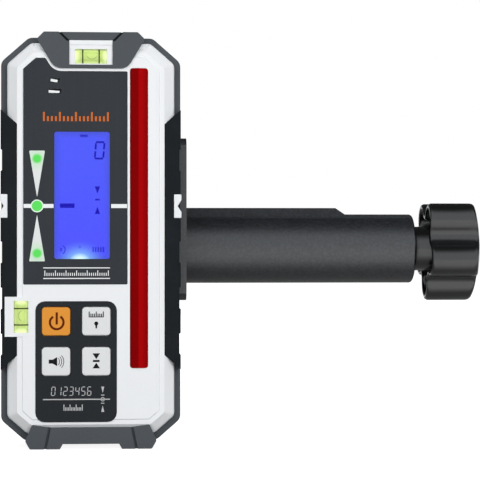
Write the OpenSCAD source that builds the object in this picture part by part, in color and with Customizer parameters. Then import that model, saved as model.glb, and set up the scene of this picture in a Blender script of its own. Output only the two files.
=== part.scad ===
// Laser receiver with a staff clamp.
// The front faces -Y, +Z is up, and the origin is on the feet's plane under the middle of the case.

/* [Case] */
// Width across the rim
body_w = 77; // [74:0.5:84]
// Height from the feet to the top of the cap
body_h = 178; // [177:0.5:186]
// Depth from the front of the cap to the back
body_d = 33; // [32:0.5:38]
// Wall of both housings
wall = 2.2; // [1.8:0.1:2.4]
// Depth of the front housing
front_d = 7.6; // [7.4:0.1:8.4]
// Height of the zero line above the feet
zero_z = 103.7; // [103:0.1:104.5]
// Width of the corner chamfers
corner_w = 12; // [11:0.5:13]
// Height of the corner chamfers
corner_h = 10.5; // [10:0.5:11.5]
// Size of the lower corner chamfers, as a share of the upper ones
low_corner = 0.85; // [0.8:0.01:1]
// Radius that softens the corners
corner_r = 4; // [2:0.5:5]
// Rim that shows around the front housing
rim_w = 2.8; // [1.8:0.1:3]
// Extra width of that rim at the bottom
low_rim = 0.7; // [0:0.1:1]
// Width of the bevel around the front face
bevel_w = 4.3; // [3.8:0.1:4.6]
// Depth of that bevel
bevel_d = 3.5; // [3:0.1:4]
// Width of the low border around the raised front face
border_w = 2; // [1.6:0.1:2.2]
// Height of the raised front face
step_h = 0.4; // [0.1:0.05:0.5]
// Round of the back edges
back_r = 3; // [2:0.5:3.5]
// Width of the seal between the housings
seal_w = 1; // [0.6:0.1:1.2]
// Depth of the seal's groove
seal_d = 1; // [0.6:0.1:1.5]

/* [Cap and bumper] */
// Height of the cap above the rear housing
cap_t = 1.8; // [1.5:0.1:3.5]
// How far cap and bumper stand in front of the front face
cap_proud = 1; // [0.5:0.1:1.2]
// Thickness of cap and bumper at the front
cap_plate = 2.8; // [2.4:0.1:3.2]
// Height of the cap seen from the front
cap_h = 15.5; // [15:0.1:16]
// Half width of the cap at its top
cap_top_hw = 20; // [18:0.5:21]
// Half width of the cap at its shoulders
cap_shoulder_hw = 23; // [22:0.5:24]
// Half width of the cap at its lower edge
cap_low_hw = 15.5; // [15:0.1:16]
// Height of the shoulders below the cap's top
cap_shoulder_h = 3; // [2:0.1:4]
// Height of the bumper below the rear housing
bumper_t = 3; // [2.9:0.1:4]
// Height of the bumper at its middle, seen from the front
bumper_h = 9.2; // [8.8:0.1:9.6]
// Height of the bumper's end blocks
bumper_end_h = 10.4; // [10:0.1:10.8]
// Half width of the bumper
bumper_hw = 28; // [27:0.5:29]
// Half width between the feet
feet_gap_hw = 12; // [8:0.5:14]
// Height of the feet
foot_h = 2.2; // [1.5:0.1:2.4]
// Depth of the bar that joins the feet at the back
foot_bar = 7; // [4:0.5:12]

/* [Grips] */
// Reach of the grips above the zero line
grip_up = 41.3; // [40:0.1:44]
// Reach of the grips below the zero line
grip_down = 70; // [66:0.1:72]
// Slant of the grip ends
grip_slant = 6.2; // [4:0.1:7]
// Thickness of the grip in front
grip_lip = 2.2; // [1.6:0.1:2.4]
// Thickness of the grip at the side
grip_side = 1.8; // [1.4:0.1:2]
// Depth of the grip in front of the front face's level
grip_drop = 0.9; // [0.5:0.1:1.2]
// Reach of the grip towards the back
grip_back = 29; // [24:0.5:30]
// Spacing of the finger recesses
recess_pitch = 19.7; // [19:0.1:21]
// Length of a finger recess
recess_l = 9.8; // [8:0.1:12]
// Depth of a finger recess
recess_d = 0.65; // [0.3:0.05:0.9]
// Length of a zero mark along the side
mark_l = 10.1; // [8:0.1:11]
// Width of a zero mark seen from the front
mark_w = 3; // [2.6:0.1:3.4]
// Depth of the mark's notch
notch_d = 1.6; // [0.8:0.1:1.7]

/* [Display] */
// Left edge of the display panel
panel_x0 = -28.8; // [-29:0.1:-28]
// Right edge of the display panel
panel_x1 = 15.6; // [15:0.1:15.8]
// Lower edge of the panel below the zero line
panel_down = 33.5; // [30:0.1:35]
// Thickness of the panels
panel_t = 0.7; // [0.5:0.1:1]
// How far the panels stand out of their pockets
panel_proud = 0.1; // [0.05:0.05:0.2]
// Width of the white line between panel and cap
panel_gap = 1.2; // [0.8:0.1:1.4]
// Middle of the display
lcd_x = -3.8; // [-4.5:0.1:-3]
// Width of the display's view
lcd_w = 23.6; // [22:0.1:25]
// Height of the display's view
lcd_h = 54.3; // [50:0.1:56]
// Middle of the display above the zero line
lcd_up = 4.55; // [3.5:0.05:5.5]
// Border of the display glass behind the panel
lcd_border = 1.7; // [1:0.1:2.2]
// Thickness of the display glass
lcd_t = 2; // [1.2:0.1:2.2]
// Column of the signal lights
light_x = -22.9; // [-23.2:0.1:-22.5]
// Width of the arrow lights
arrow_w = 6.7; // [5:0.1:7.5]
// Gap from the zero line to an arrow's tip
arrow_gap = 3.6; // [3.4:0.1:4.5]
// Height of an arrow light
arrow_h = 20; // [16:0.1:21]
// Radius of the middle light
dot_r = 2.6; // [2:0.1:2.9]
// Height above the zero line of the upper sound slot
slot_up = 53.7; // [53:0.1:54]
// Spacing of the sound slots
slot_pitch = 4.6; // [4:0.1:5]
// Height of a sound slot
slot_h = 1.8; // [1.2:0.1:2]
// Middle of the sound slots
slot_x = -15.4; // [-16:0.1:-15]
// Length of the upper sound slot
slot_l = 3.6; // [3:0.1:4]
// How much longer the lower sound slot is
slot_more = 1.7; // [1:0.1:2]

/* [Receiver window] */
// Left edge of the red window
window_x0 = 16.6; // [16.4:0.1:17]
// Width of the red window
window_w = 7.8; // [7:0.1:8]
// Reach of the red window above the zero line
window_up = 59; // [57:0.1:59.2]
// Reach of the red window below the zero line
window_down = 69.3; // [66:0.1:72]
// Width of the glued flange behind the front wall
window_flange = 0.9; // [0.6:0.1:1]
// Thickness of that flange
flange_t = 0.8; // [0.5:0.1:1]
// Spacing of the photodiodes
diode_pitch = 8; // [7:0.1:10]
// Side of a photodiode
diode_w = 5; // [4:0.1:6]
// Thickness of the sensor board
sensor_t = 1; // [0.8:0.1:1.2]

/* [Keys] */
// Middle of the keypad
keypad_x = -6.3; // [-6.5:0.1:-6]
// Width of the keypad panel
keypad_w = 34.7; // [34:0.1:35]
// Height of the keypad panel
keypad_h = 51.6; // [50:0.1:52]
// Lower edge of the keypad panel
keypad_z0 = 11.5; // [11.4:0.1:12.5]
// Corner radius of the keypad panel
keypad_r = 4; // [2:0.5:6]
// Side of a key
key_w = 12.1; // [11:0.1:12.6]
// Corner radius of a key
key_r = 1.5; // [1:0.1:3]
// Spacing of the keys
key_pitch = 17.1; // [16.5:0.1:17.3]
// Middle of the upper keys below the panel's top
key_drop = 8.6; // [8:0.1:9.2]
// How far a key stands out of the panel
key_proud = 0.7; // [0.4:0.1:1.2]
// Travel of a key
key_travel = 1; // [0.6:0.1:1.1]
// Gap around a key
key_gap = 0.25; // [0.2:0.05:0.35]
// Flange that holds a key behind the wall
key_flange = 0.9; // [0.6:0.1:1.1]

/* [Boards] */
// Space between front wall and main board
board_gap = 4.3; // [4.2:0.1:5]
// Thickness of the main board
board_t = 1.6; // [1:0.1:2]
// Left edge of the main board
board_x0 = -26; // [-26.5:0.1:-25.8]
// Right edge of the main board
board_x1 = 27; // [26.5:0.1:27.5]
// Reach of the main board above the zero line
board_up = 56; // [55.5:0.1:56.3]
// Reach of the main board below the zero line
board_down = 78; // [74:0.1:80]
// Radius of the buzzer
buzzer_r = 6.5; // [5:0.1:7]
// Outer radius of the board posts
post_r = 2.3; // [2:0.1:2.5]
// Radius of the board screws
board_screw_r = 0.9; // [0.7:0.1:1]

/* [Vials] */
// Radius of the vials
vial_r = 3; // [2.7:0.1:3.1]
// Length of the vials
vial_l = 13.4; // [12:0.1:14]
// Width of the top vial's block
top_block_w = 18.4; // [17.5:0.1:19]
// Height of the top vial's block
top_block_h = 10.4; // [9.5:0.1:10.6]
// Top of that block below the cap's top
top_block_drop = 3.6; // [3.2:0.1:4]
// Height of the side vial's block
side_block_h = 17; // [16.5:0.1:18]
// Outer edge of the side vial's block
side_block_x0 = -36.6; // [-36.8:0.1:-36.4]
// Width of the side vial's block
side_block_w = 10.9; // [10.6:0.1:11.2]
// Middle of the side vial below the zero line
side_vial_down = 47.2; // [46.5:0.1:48]
// Floor of the blocks behind the vials
block_floor = 0.9; // [0.7:0.1:1.1]

/* [Battery] */
// Diameter of a cell
cell_d = 14.5; // [14:0.1:14.5]
// Length of a cell with its button
cell_l = 50.5; // [49:0.1:51]
// Number of cells
cell_count = 4; // [2:1:4]
// Gap beside a cell
cell_gap = 0.3; // [0.1:0.05:0.3]
// Thickness of a battery contact
contact_t = 0.5; // [0.3:0.1:0.8]
// Lower end of the battery bay
bay_z0 = 17; // [16.8:0.1:17.5]
// Wall around the battery bay
bay_wall = 1.2; // [1:0.1:1.4]
// Ledge that the door covers beside the bay
door_ledge = 1.9; // [1.7:0.1:2.1]
// Thickness of the battery door
door_t = 2.2; // [1.8:0.1:2.4]
// Gap around the battery door
door_gap = 0.3; // [0.2:0.05:0.5]
// Height of the door's hinge axis above the feet
hinge_z = 11.2; // [11:0.1:11.6]
// Radius of the door's hinge barrel
barrel_r = 1.7; // [1.5:0.1:1.9]
// Radius of the hinge pin
pin_r = 0.9; // [0.6:0.05:1]

/* [Fasteners] */
// Radius of the housing screws
screw_r = 1.25; // [1:0.05:1.4]
// Radius of their heads
screw_head_r = 2.4; // [2:0.1:2.6]
// Outer radius of their posts
screw_post_r = 2.9; // [2.6:0.1:3.2]
// Distance of the housing screws from the middle
screw_x = 30; // [29.8:0.1:30.4]
// Radius of the bracket screw
clamp_screw_r = 3; // [2.5:0.1:3.5]
// Gap around threads and pressed pieces
fit_gap = 0.03; // [0.02:0.01:0.05]

/* [Clamp] */
// Left face of the fixed jaw
bracket_x0 = -36; // [-38:0.5:-34]
// Thickness of the bracket plate
bracket_t = 5; // [4.8:0.1:7]
// Lower edge of bracket and jaws
jaw_z0 = 75.5; // [75.2:0.1:78]
// Upper edge of bracket and jaws
jaw_z1 = 127; // [124:0.5:132]
// Reach of the jaws behind the case
jaw_reach = 40.5; // [38:0.5:48]
// Thickness of the jaws
jaw_t = 4; // [3.5:0.1:6]
// Thickness of the jaw pads
pad_t = 3; // [2.5:0.1:4]
// Depth of the groove in the pads
pad_groove = 1.8; // [1:0.1:2]
// Right face of the arm's flange
flange_x1 = 42.4; // [40.5:0.1:44]
// Thickness of the arm's flange
arm_flange_t = 5; // [4.5:0.1:6]
// Lower edge of the arm's flange
flange_z0 = 62.3; // [60:0.1:66]
// Upper edge of the arm's flange
flange_z1 = 134.6; // [130:0.1:138]
// Corner radius of the arm's flange
flange_r = 5; // [2:0.5:8]
// Height of the arm's axis above the feet
arm_z = 85.3; // [84.5:0.1:86]
// Distance of the arm's axis behind the case
arm_y_back = 19.5; // [19:0.1:22]
// Outer radius of the arm
arm_r = 15.6; // [15:0.05:16]
// Wall of the arm
arm_wall = 2.75; // [2.4:0.05:3]
// Right end of the arm
arm_x1 = 146.2; // [138:0.1:150]
// Round of the arm's end
arm_end_r = 1.2; // [1:0.1:2]
// Wall at the arm's end
arm_end_t = 4.2; // [3.5:0.1:6]
// Right end of the rib's level top
rib_x1 = 110.6; // [104:0.1:112]
// Width of the rib
rib_w = 12; // [10:0.5:16]
// Length of the rib's sloping end
rib_slope = 4.5; // [3:0.5:8]
// Wall above the key slot in the rib
rib_wall = 2.2; // [1.6:0.1:2.4]
// Width of the key
slide_key_w = 6; // [4:0.1:7]
// Length of the key
slide_key_l = 12; // [8:0.5:16]
// Gap of the moving jaw, its bar and its key
slide_gap = 0.3; // [0.2:0.05:0.4]
// Length of the push bar
bar_l = 72.8; // [60:0.1:75]
// Room between the jaw's screw and the spindle
spindle_room = 4.2; // [3:0.1:8]
// Wall of the push bar
bar_wall = 3; // [2.5:0.1:4]

/* [Spindle and knob] */
// Radius of the spindle
spindle_r = 3.5; // [3:0.1:4]
// Running gap of the spindle
run_gap = 0.06; // [0.03:0.01:0.1]
// Radius of the spindle nut
nut_r = 7; // [6:0.1:8]
// Length of the spindle nut
nut_l = 12; // [10:0.5:14]
// Radius of the spindle's collar
collar_r = 6.5; // [5.5:0.1:8]
// Thickness of the spindle's collar
collar_t = 2.5; // [2:0.1:4]
// Thickness of the thrust washer
washer_t = 1; // [0.6:0.1:1.5]
// Gap between arm and knob
knob_gap = 0.5; // [0.3:0.1:1]
// Largest radius of the knob
knob_r = 23.6; // [22:0.1:26]
// Depth of the hollows between the lobes
lobe_d = 6.2; // [2:0.1:7]
// Number of lobes
lobe_count = 5; // [3:1:8]
// Length of the knob's neck
neck_l = 5.6; // [4:0.1:8]
// Radius of the knob's neck
neck_r = 10; // [8.5:0.1:11]
// Length of the lobed part
knob_l = 24.2; // [18:0.1:28]
// Height of the knob's domed end
dome_h = 2.4; // [1:0.1:4]
// Wall of the knob
knob_wall = 3; // [2:0.1:4]
// Radius of the knob pin
knob_pin_r = 1.25; // [1:0.05:1.5]

/* [Hidden] */
$fn = 64;

white = "#E8EAEC";
dark_grey = "#4A4D50";
black = "#1E2124";

// Levels from front to back
half_w = body_w / 2;
y_cap = -body_d / 2;
y_back = body_d / 2;
y_face = y_cap + cap_proud;
y_bevel = y_face + step_h + bevel_d;
y_part = y_face + front_d;
y_in = y_face + wall;
y_cap_floor = y_cap + cap_plate;
y_pocket = y_face - panel_proud + panel_t;
y_board = y_in + board_gap;
y_rear_in = y_back - wall;
soft = 0.5;
cut = 1;

// Insets of the case's outlines from the rim
face_in = rim_w + bevel_w;
raised_in = face_in + border_w;
inner_in = rim_w + wall;
grip_web = 1.8;
front_in = face_in + grip_web;
y_step = y_in + front_in - inner_in - wall / 2;
end_share = 0.95;
rim_z0 = bumper_t;
rim_z1 = body_h - cap_t;
chamfer_l = sqrt(corner_w * corner_w + corner_h * corner_h);
chamfer_k = 1 - (chamfer_l - corner_w) / corner_h;
base_z0 = rim_z0 + rim_w * end_share + low_rim;
base_z1 = rim_z1 - rim_w * end_share;

// One corner of an outline as an arc of radius r from the side a-b to the side b-c
function arc_corner(a, b, c, r, n) =
    let (u = (a - b) / norm(a - b))
    let (v = (c - b) / norm(c - b))
    let (half = acos(u * v) / 2)
    let (mid = b + (u + v) / norm(u + v) * r / sin(half))
    let (p = b + u * r / tan(half) - mid)
    let (q = b + v * r / tan(half) - mid)
    let (start = atan2(p[1], p[0]))
    let (turn = atan2(p[0] * q[1] - p[1] * q[0], p * q))
    [for (i = [0:n]) mid + r * [cos(start + turn * i / n), sin(start + turn * i / n)]];

// An outline with every corner rounded by its radius; r is one number or a list
function rounded(points, r, n = 4) =
    let (count = len(points))
    [for (i = [0:count - 1])
        let (a = points[(i + count - 1) % count])
        let (c = points[(i + 1) % count])
        let (corner_radius = is_list(r) ? r[i] : r)
        each (corner_radius > 0 ? arc_corner(a, points[i], c, corner_radius, n) : [points[i]])];

// A rectangle between two corners
function rectangle(x0, z0, x1, z1) = [[x0, z0], [x1, z0], [x1, z1], [x0, z1]];

// The case's eight-sided outline, inset from the rim
function case_outline(inset) =
    let (w = half_w - inset)
    let (z0 = rim_z0 + inset * end_share + low_rim * min(inset / rim_w, 1))
    let (z1 = rim_z1 - inset * end_share)
    let (cx = corner_w - inset * chamfer_k)
    let (low_cx = corner_w * low_corner - inset * chamfer_k)
    let (slope = corner_h / corner_w)
    rounded([[-w + low_cx, z0], [w - low_cx, z0], [w, z0 + low_cx * slope], [w, z1 - cx * slope],
        [w - cx, z1], [-w + cx, z1], [-w, z1 - cx * slope], [-w, z0 + low_cx * slope]],
        max(corner_r - inset * 0.3, 0.8));

// A case outline at the level y
function case_ring(inset, y) = [for (p = case_outline(inset)) [p[0], y, p[1]]];

// A solid through rings of points, front ring first
module loft(rings) {
    n = len(rings[0]);
    last = len(rings) - 1;
    points = [for (ring = rings) each ring];
    sides = [for (k = [0:last - 1], i = [0:n - 1])
        let (j = (i + 1) % n)
        each [[k * n + i, k * n + j, k * n + n + j], [k * n + i, k * n + n + j, k * n + n + i]]];
    front_cap = [for (i = [n - 1:-1:0]) i];
    back_cap = [for (i = [0:n - 1]) last * n + i];
    polyhedron(points, concat([front_cap], sides, [back_cap]));
}

// A flat outline in X and Z, made solid from y0 to y1
module slab(outline, y0, y1) {
    translate([0, y1, 0])
        rotate([90, 0, 0])
            linear_extrude(y1 - y0)
                polygon(outline);
}

// A block between two corners
module block(x0, x1, y0, y1, z0, z1) {
    translate([x0, y0, z0])
        cube([x1 - x0, y1 - y0, z1 - z0]);
}

// A round rod along Y
module rod_y(x, z, r, y0, y1) {
    translate([x, y1, z])
        rotate([90, 0, 0])
            cylinder(r = r, h = y1 - y0);
}

// A round rod along X
module rod_x(y, z, r, x0, x1) {
    translate([x0, y, z])
        rotate([0, 90, 0])
            cylinder(r = r, h = x1 - x0);
}

// A round rod of length l along Z, with its middle on the arm's axis at x
module rod_z(x, r, l) {
    translate([x, arm_y, arm_z - l / 2])
        cylinder(r = r, h = l);
}

// Cap outline seen from the front, grown by g
cap_z0 = body_h - cap_h;
cap_r = 5;
cap_edge_slope = (cap_shoulder_hw - cap_low_hw) / (cap_h - cap_shoulder_h);
function cap_outline(g = 0) = rounded([
    [-cap_low_hw - g, cap_z0 - g], [cap_low_hw + g, cap_z0 - g],
    [cap_shoulder_hw + g, body_h - cap_shoulder_h], [cap_top_hw + g, body_h + g],
    [-cap_top_hw - g, body_h + g], [-cap_shoulder_hw - g, body_h - cap_shoulder_h]],
    [cap_r, cap_r, 1, 1, 1, 1]);

// Bumper outline seen from the front
bumper_foot_hw = bumper_hw - 2;
bumper_end_hw = bumper_hw - 3;
bumper_block_w = 7.5;
bumper_mid_hw = bumper_end_hw - bumper_block_w;
bumper_wide_z = 3.5;
bumper_outline = rounded([
    [-bumper_foot_hw, 0], [-feet_gap_hw - 1.2, 0], [-feet_gap_hw, foot_h], [feet_gap_hw, foot_h],
    [feet_gap_hw + 1.2, 0], [bumper_foot_hw, 0], [bumper_hw, bumper_wide_z], [bumper_end_hw, bumper_end_h],
    [bumper_mid_hw, bumper_h], [-bumper_mid_hw, bumper_h], [-bumper_end_hw, bumper_end_h],
    [-bumper_hw, bumper_wide_z]], [0.8, 0, 0, 0, 0, 0.8, 1, 0.8, 0, 0, 0.8, 1]);

// Grips
face_hw = half_w - face_in;
grip_x = half_w - grip_side;
base_hw = half_w - rim_w;
y_grip = y_face + grip_drop;
y_lip = y_grip + grip_lip;
y_grip_back = y_face + grip_back;
grip_rate = grip_slant / (half_w - face_hw);
mark_proud = 0.2;
mark_depth = 8;
notch_hw = 3.8;
// Grip outline seen from the front, on the right, reaching past the side
function grip_outline(past) = [
    [face_hw, zero_z - grip_down + grip_slant], [half_w + past, zero_z - grip_down - past * grip_rate],
    [half_w + past, zero_z + grip_up + past * grip_rate], [face_hw, zero_z + grip_up - grip_slant]];
// Positions of the finger recesses, in steps from the zero line
recess_steps = [1, -1, -2, -3];

// Display panel outline, which follows the raised face and the cap
panel_z0 = zero_z - panel_down;
panel_z1 = cap_z0 - panel_gap;
panel_top = rim_z1 - raised_in * end_share - panel_proud;
raised_cx = corner_w - raised_in * chamfer_k;
raised_cz = raised_cx * corner_h / corner_w;
function cap_side(z) = -cap_low_hw - (z - cap_z0) * cap_edge_slope - panel_gap;
display_outline = rounded([
    [panel_x0, panel_z0], [panel_x1, panel_z0], [panel_x1, panel_z1], [cap_side(panel_z1), panel_z1],
    [cap_side(panel_top - 0.6), panel_top - 0.6], [-(half_w - raised_in - raised_cx) - 0.4, panel_top - 0.6],
    [panel_x0, panel_top - raised_cz + 0.2]], [0.6, 0.6, 0.6, cap_r + panel_gap, 0.6, 0.6, 0.6]);

// Display, lights and sound slots
lcd_z = zero_z + lcd_up;
lcd_view = rounded(rectangle(lcd_x - lcd_w / 2, lcd_z - lcd_h / 2, lcd_x + lcd_w / 2, lcd_z + lcd_h / 2), 1);
function lcd_rectangle(g) = rectangle(lcd_x - lcd_w / 2 - g, lcd_z - lcd_h / 2 - g,
    lcd_x + lcd_w / 2 + g, lcd_z + lcd_h / 2 + g);
y_lcd_back = y_pocket + lcd_t;
// An arrow light's outline; side is 1 above the zero line and -1 below it
function arrow_outline(side) = rounded([[light_x, zero_z + side * arrow_gap],
    [light_x + side * arrow_w / 2, zero_z + side * (arrow_gap + arrow_h)],
    [light_x - side * arrow_w / 2, zero_z + side * (arrow_gap + arrow_h)]], [0.1, 0.4, 0.4]);
arrow_led = arrow_gap + arrow_h - 3.3;
light_z = [zero_z + arrow_led, zero_z, zero_z - arrow_led];
led_w = 2.8;
led_t = 1.9;
lens_post_r = 1.8;
lens_gap = 0.2;
// A sound slot with slanted ends; row is 0 for the upper one and 1 for the lower one
function slot_outline(row) =
    let (l = slot_l + row * slot_more)
    let (z = zero_z + slot_up - row * slot_pitch)
    rounded([[slot_x - l / 2 - 0.4, z - slot_h / 2], [slot_x + l / 2, z - slot_h / 2],
        [slot_x + l / 2 + 0.4, z + slot_h / 2], [slot_x - l / 2, z + slot_h / 2]], 0.3);

// Red window
window_x = window_x0 + window_w / 2;
window_z0 = zero_z - window_down;
window_z1 = zero_z + window_up;
window_outline = rounded(rectangle(window_x0, window_z0, window_x0 + window_w, window_z1), 1.2);
flange_top = cap_z0 - wall - 0.5;
diode_count = floor((min(flange_top, zero_z + board_up) - window_z0 - diode_w) / diode_pitch) + 1;
diode_z0 = window_z0 + 1;
sensor_hw = window_w / 2 + 1.2;
sensor_pad = 1;
diode_top = y_in + flange_t + 0.3;

// Keys
keypad_z1 = keypad_z0 + keypad_h;
keypad_outline = rounded(rectangle(keypad_x - keypad_w / 2, keypad_z0,
    keypad_x + keypad_w / 2, keypad_z1), keypad_r);
key_x = [keypad_x - key_pitch / 2, keypad_x + key_pitch / 2];
key_z = [keypad_z1 - key_drop, keypad_z1 - key_drop - key_pitch];
// A key's square outline, grown by g
function key_outline(x, z, g) = rounded(rectangle(x - key_w / 2 - g, z - key_w / 2 - g,
    x + key_w / 2 + g, z + key_w / 2 + g), key_r + g);
y_key = y_face - panel_proud - key_proud;
key_flange_t = 0.8;
key_rest_gap = 0.1;
y_key_flange = y_in + key_rest_gap;
switch_t = 0.8;
plunger_t = 0.4;
plunger_gap = 0.15;
plunger_r = 1.5;
switch_w = 6;
stem_r = 2.5;
y_stem = y_board - switch_t - plunger_t - plunger_gap - key_travel;

// Vials
top_block_z1 = body_h - top_block_drop;
top_block_z0 = top_block_z1 - top_block_h;
top_vial_z = top_block_z0 + vial_r + 0.6;
y_block = y_face - 0.2;
vial_front = 0.2;
vial_gap = 0.1;
y_vial = y_block + vial_front + vial_r;
y_block_back = y_vial + vial_r + block_floor;
side_vial_z = zero_z - side_vial_down;
side_block_x1 = side_block_x0 + side_block_w;
side_vial_x = side_block_x1 - vial_r - 1;
side_deep_x0 = side_vial_x - vial_r - 0.3;
boss_gap = 0.3;
ledge_d = 0.4;
ledge_h = 1.9;
side_block_z = [side_vial_z - side_block_h / 2, side_vial_z + side_block_h / 2];

// Board posts, on the board's front
post_edge = 3.5;
post_up = 10.4;
post_down = 10.9;
post_high = 8.6;
post_low = 12.7;
post_x = [board_x0 + post_edge, lcd_x + lcd_w / 2 + lcd_border + post_r];
arrow_end = arrow_gap + arrow_h;
post_places = [[post_x[0], zero_z + arrow_end + post_up], [post_x[0], zero_z - arrow_end - post_down],
    [post_x[1], lcd_z + lcd_h / 2 + lcd_border + post_high],
    [post_x[1], lcd_z - lcd_h / 2 - lcd_border - post_low]];
board_z0 = zero_z - board_down;
board_z1 = zero_z + board_up;
buzzer_place = [slot_x, zero_z + slot_up - slot_pitch];

// Battery bay and door
cell_pitch = cell_d + cell_gap;
bay_hw = cell_pitch * cell_count / 2 + cell_gap / 2;
contact_bow = 0.4;
bay_l = cell_l + 2 * (contact_t + contact_bow);
bay_z1 = bay_z0 + bay_l;
y_door = y_back - door_t;
seal_t = 1;
y_ledge = y_door - seal_t;
y_cell = y_door - 0.25 - cell_d / 2;
y_bay = y_cell - cell_d / 2 - 0.3;
door_hw = bay_hw + door_ledge;
door_lift = 2.6;
door_z0 = hinge_z + door_lift;
knuckle_r = pin_r + 0.7;
door_z1 = bay_z1 + door_ledge;
door_chamfer = 2.6;
finger_hw = 9;
y_hinge = y_back - barrel_r;
barrel_hw = door_hw - door_chamfer - 4;
pin_hw = barrel_hw + 3;
// The door's outline, grown by g
function door_outline(g) = [
    [-door_hw + door_chamfer - g / 2, door_z0 - g], [door_hw - door_chamfer + g / 2, door_z0 - g],
    [door_hw + g, door_z0 + door_chamfer - g / 2], [door_hw + g, door_z1 + g],
    [-door_hw - g, door_z1 + g], [-door_hw - g, door_z0 + door_chamfer - g / 2]];

// Housing screws
screw_drop = 18.8;
screw_lift = 6.5;
screw_places = [for (z = [rim_z1 - screw_drop, bay_z1 + screw_lift], x = [-screw_x, screw_x]) [x, z]];
screw_head_t = 1.8;
screw_bite = 4;

// Clamp
arm_y = y_back + arm_y_back;
jaw_y1 = y_back + jaw_reach;
y_plate = y_back + bracket_t;
flange_x0 = flange_x1 - arm_flange_t;
jaw_x1 = flange_x0 - slide_gap;
jaw_x0 = jaw_x1 - jaw_t;
fixed_x1 = bracket_x0 + jaw_t;
bore_r = arm_r - arm_wall;
bar_r = bore_r - slide_gap;
bar_x1 = jaw_x1 + bar_l;
bar_bore_r = bar_r - bar_wall;
rib_top = zero_z;
slot_top = rib_top - rib_wall;
arm_end_in = arm_x1 - arm_end_t;
key_x1 = min(rib_x1, bar_x1) - 2;
key_x0 = key_x1 - slide_key_l;
clamp_screw_z = (jaw_z0 + jaw_z1) / 2;
clamp_head_r = 5.4;
clamp_head_t = 2.6;
insert_r = clamp_screw_r + 1.5;
insert_l = 8;
peg_r = 2.5;
peg_l = 1.6;
peg_gap = 0.15;
peg_pitch = 17;
peg_z = [clamp_screw_z - peg_pitch, clamp_screw_z + peg_pitch];
arm_screw_end = 4.5;
arm_screw_pitch = 19;
arm_screw_z = [jaw_z0 + arm_screw_end, jaw_z1 - arm_screw_end - arm_screw_pitch, jaw_z1 - arm_screw_end];
arm_screw_y = y_back + bracket_t / 2;
arm_screw_r = 1.3;
arm_head_r = 1.9;
arm_head_t = 2;
arm_screw_l = 16;
groove_hw = 8;
jaw_screw_r = 3;
jaw_head_r = 5.5;
jaw_screw_l = 9;

// Spindle and knob
spindle_x0 = jaw_x1 + jaw_screw_l + spindle_room;
bar_bore_x0 = spindle_x0 - 2;
washer_r = 8;
collar_gap = 0.1;
collar_x1 = arm_end_in - washer_t - collar_gap;
neck_x0 = arm_x1 + knob_gap;
knob_x0 = neck_x0 + neck_l;
knob_x1 = knob_x0 + knob_l;
spindle_x1 = knob_x1 - knob_wall - dome_h;
knob_pin_x = knob_x0 + 6;
// The knob's outline in Y and Z, inset: a circle with evenly spaced lobes, one of them pointing down
function knob_outline(inset) = [for (a = [-90:6:264])
    let (r = knob_r - inset - lobe_d * (1 - cos(lobe_count * (a + 90))) / 2)
    r * [cos(a), sin(a)]];
// The knob's profile, as radius and place along X: soft edges and a domed end
knob_rim = knob_x1 - dome_h;
knob_profile = [[0, knob_x0], [knob_r - 1.4, knob_x0], [knob_r - 0.4, knob_x0 + 0.4],
    [knob_r + 0.3, knob_x0 + 1.6], [knob_r + 0.3, knob_rim - 1.8], [knob_r - 0.4, knob_rim - 0.6],
    [knob_r - 1.6, knob_rim], [knob_r * 0.65, knob_rim + dome_h * 0.6],
    [knob_r * 0.35, knob_rim + dome_h * 0.9], [0, knob_x1]];

// Case

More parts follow.
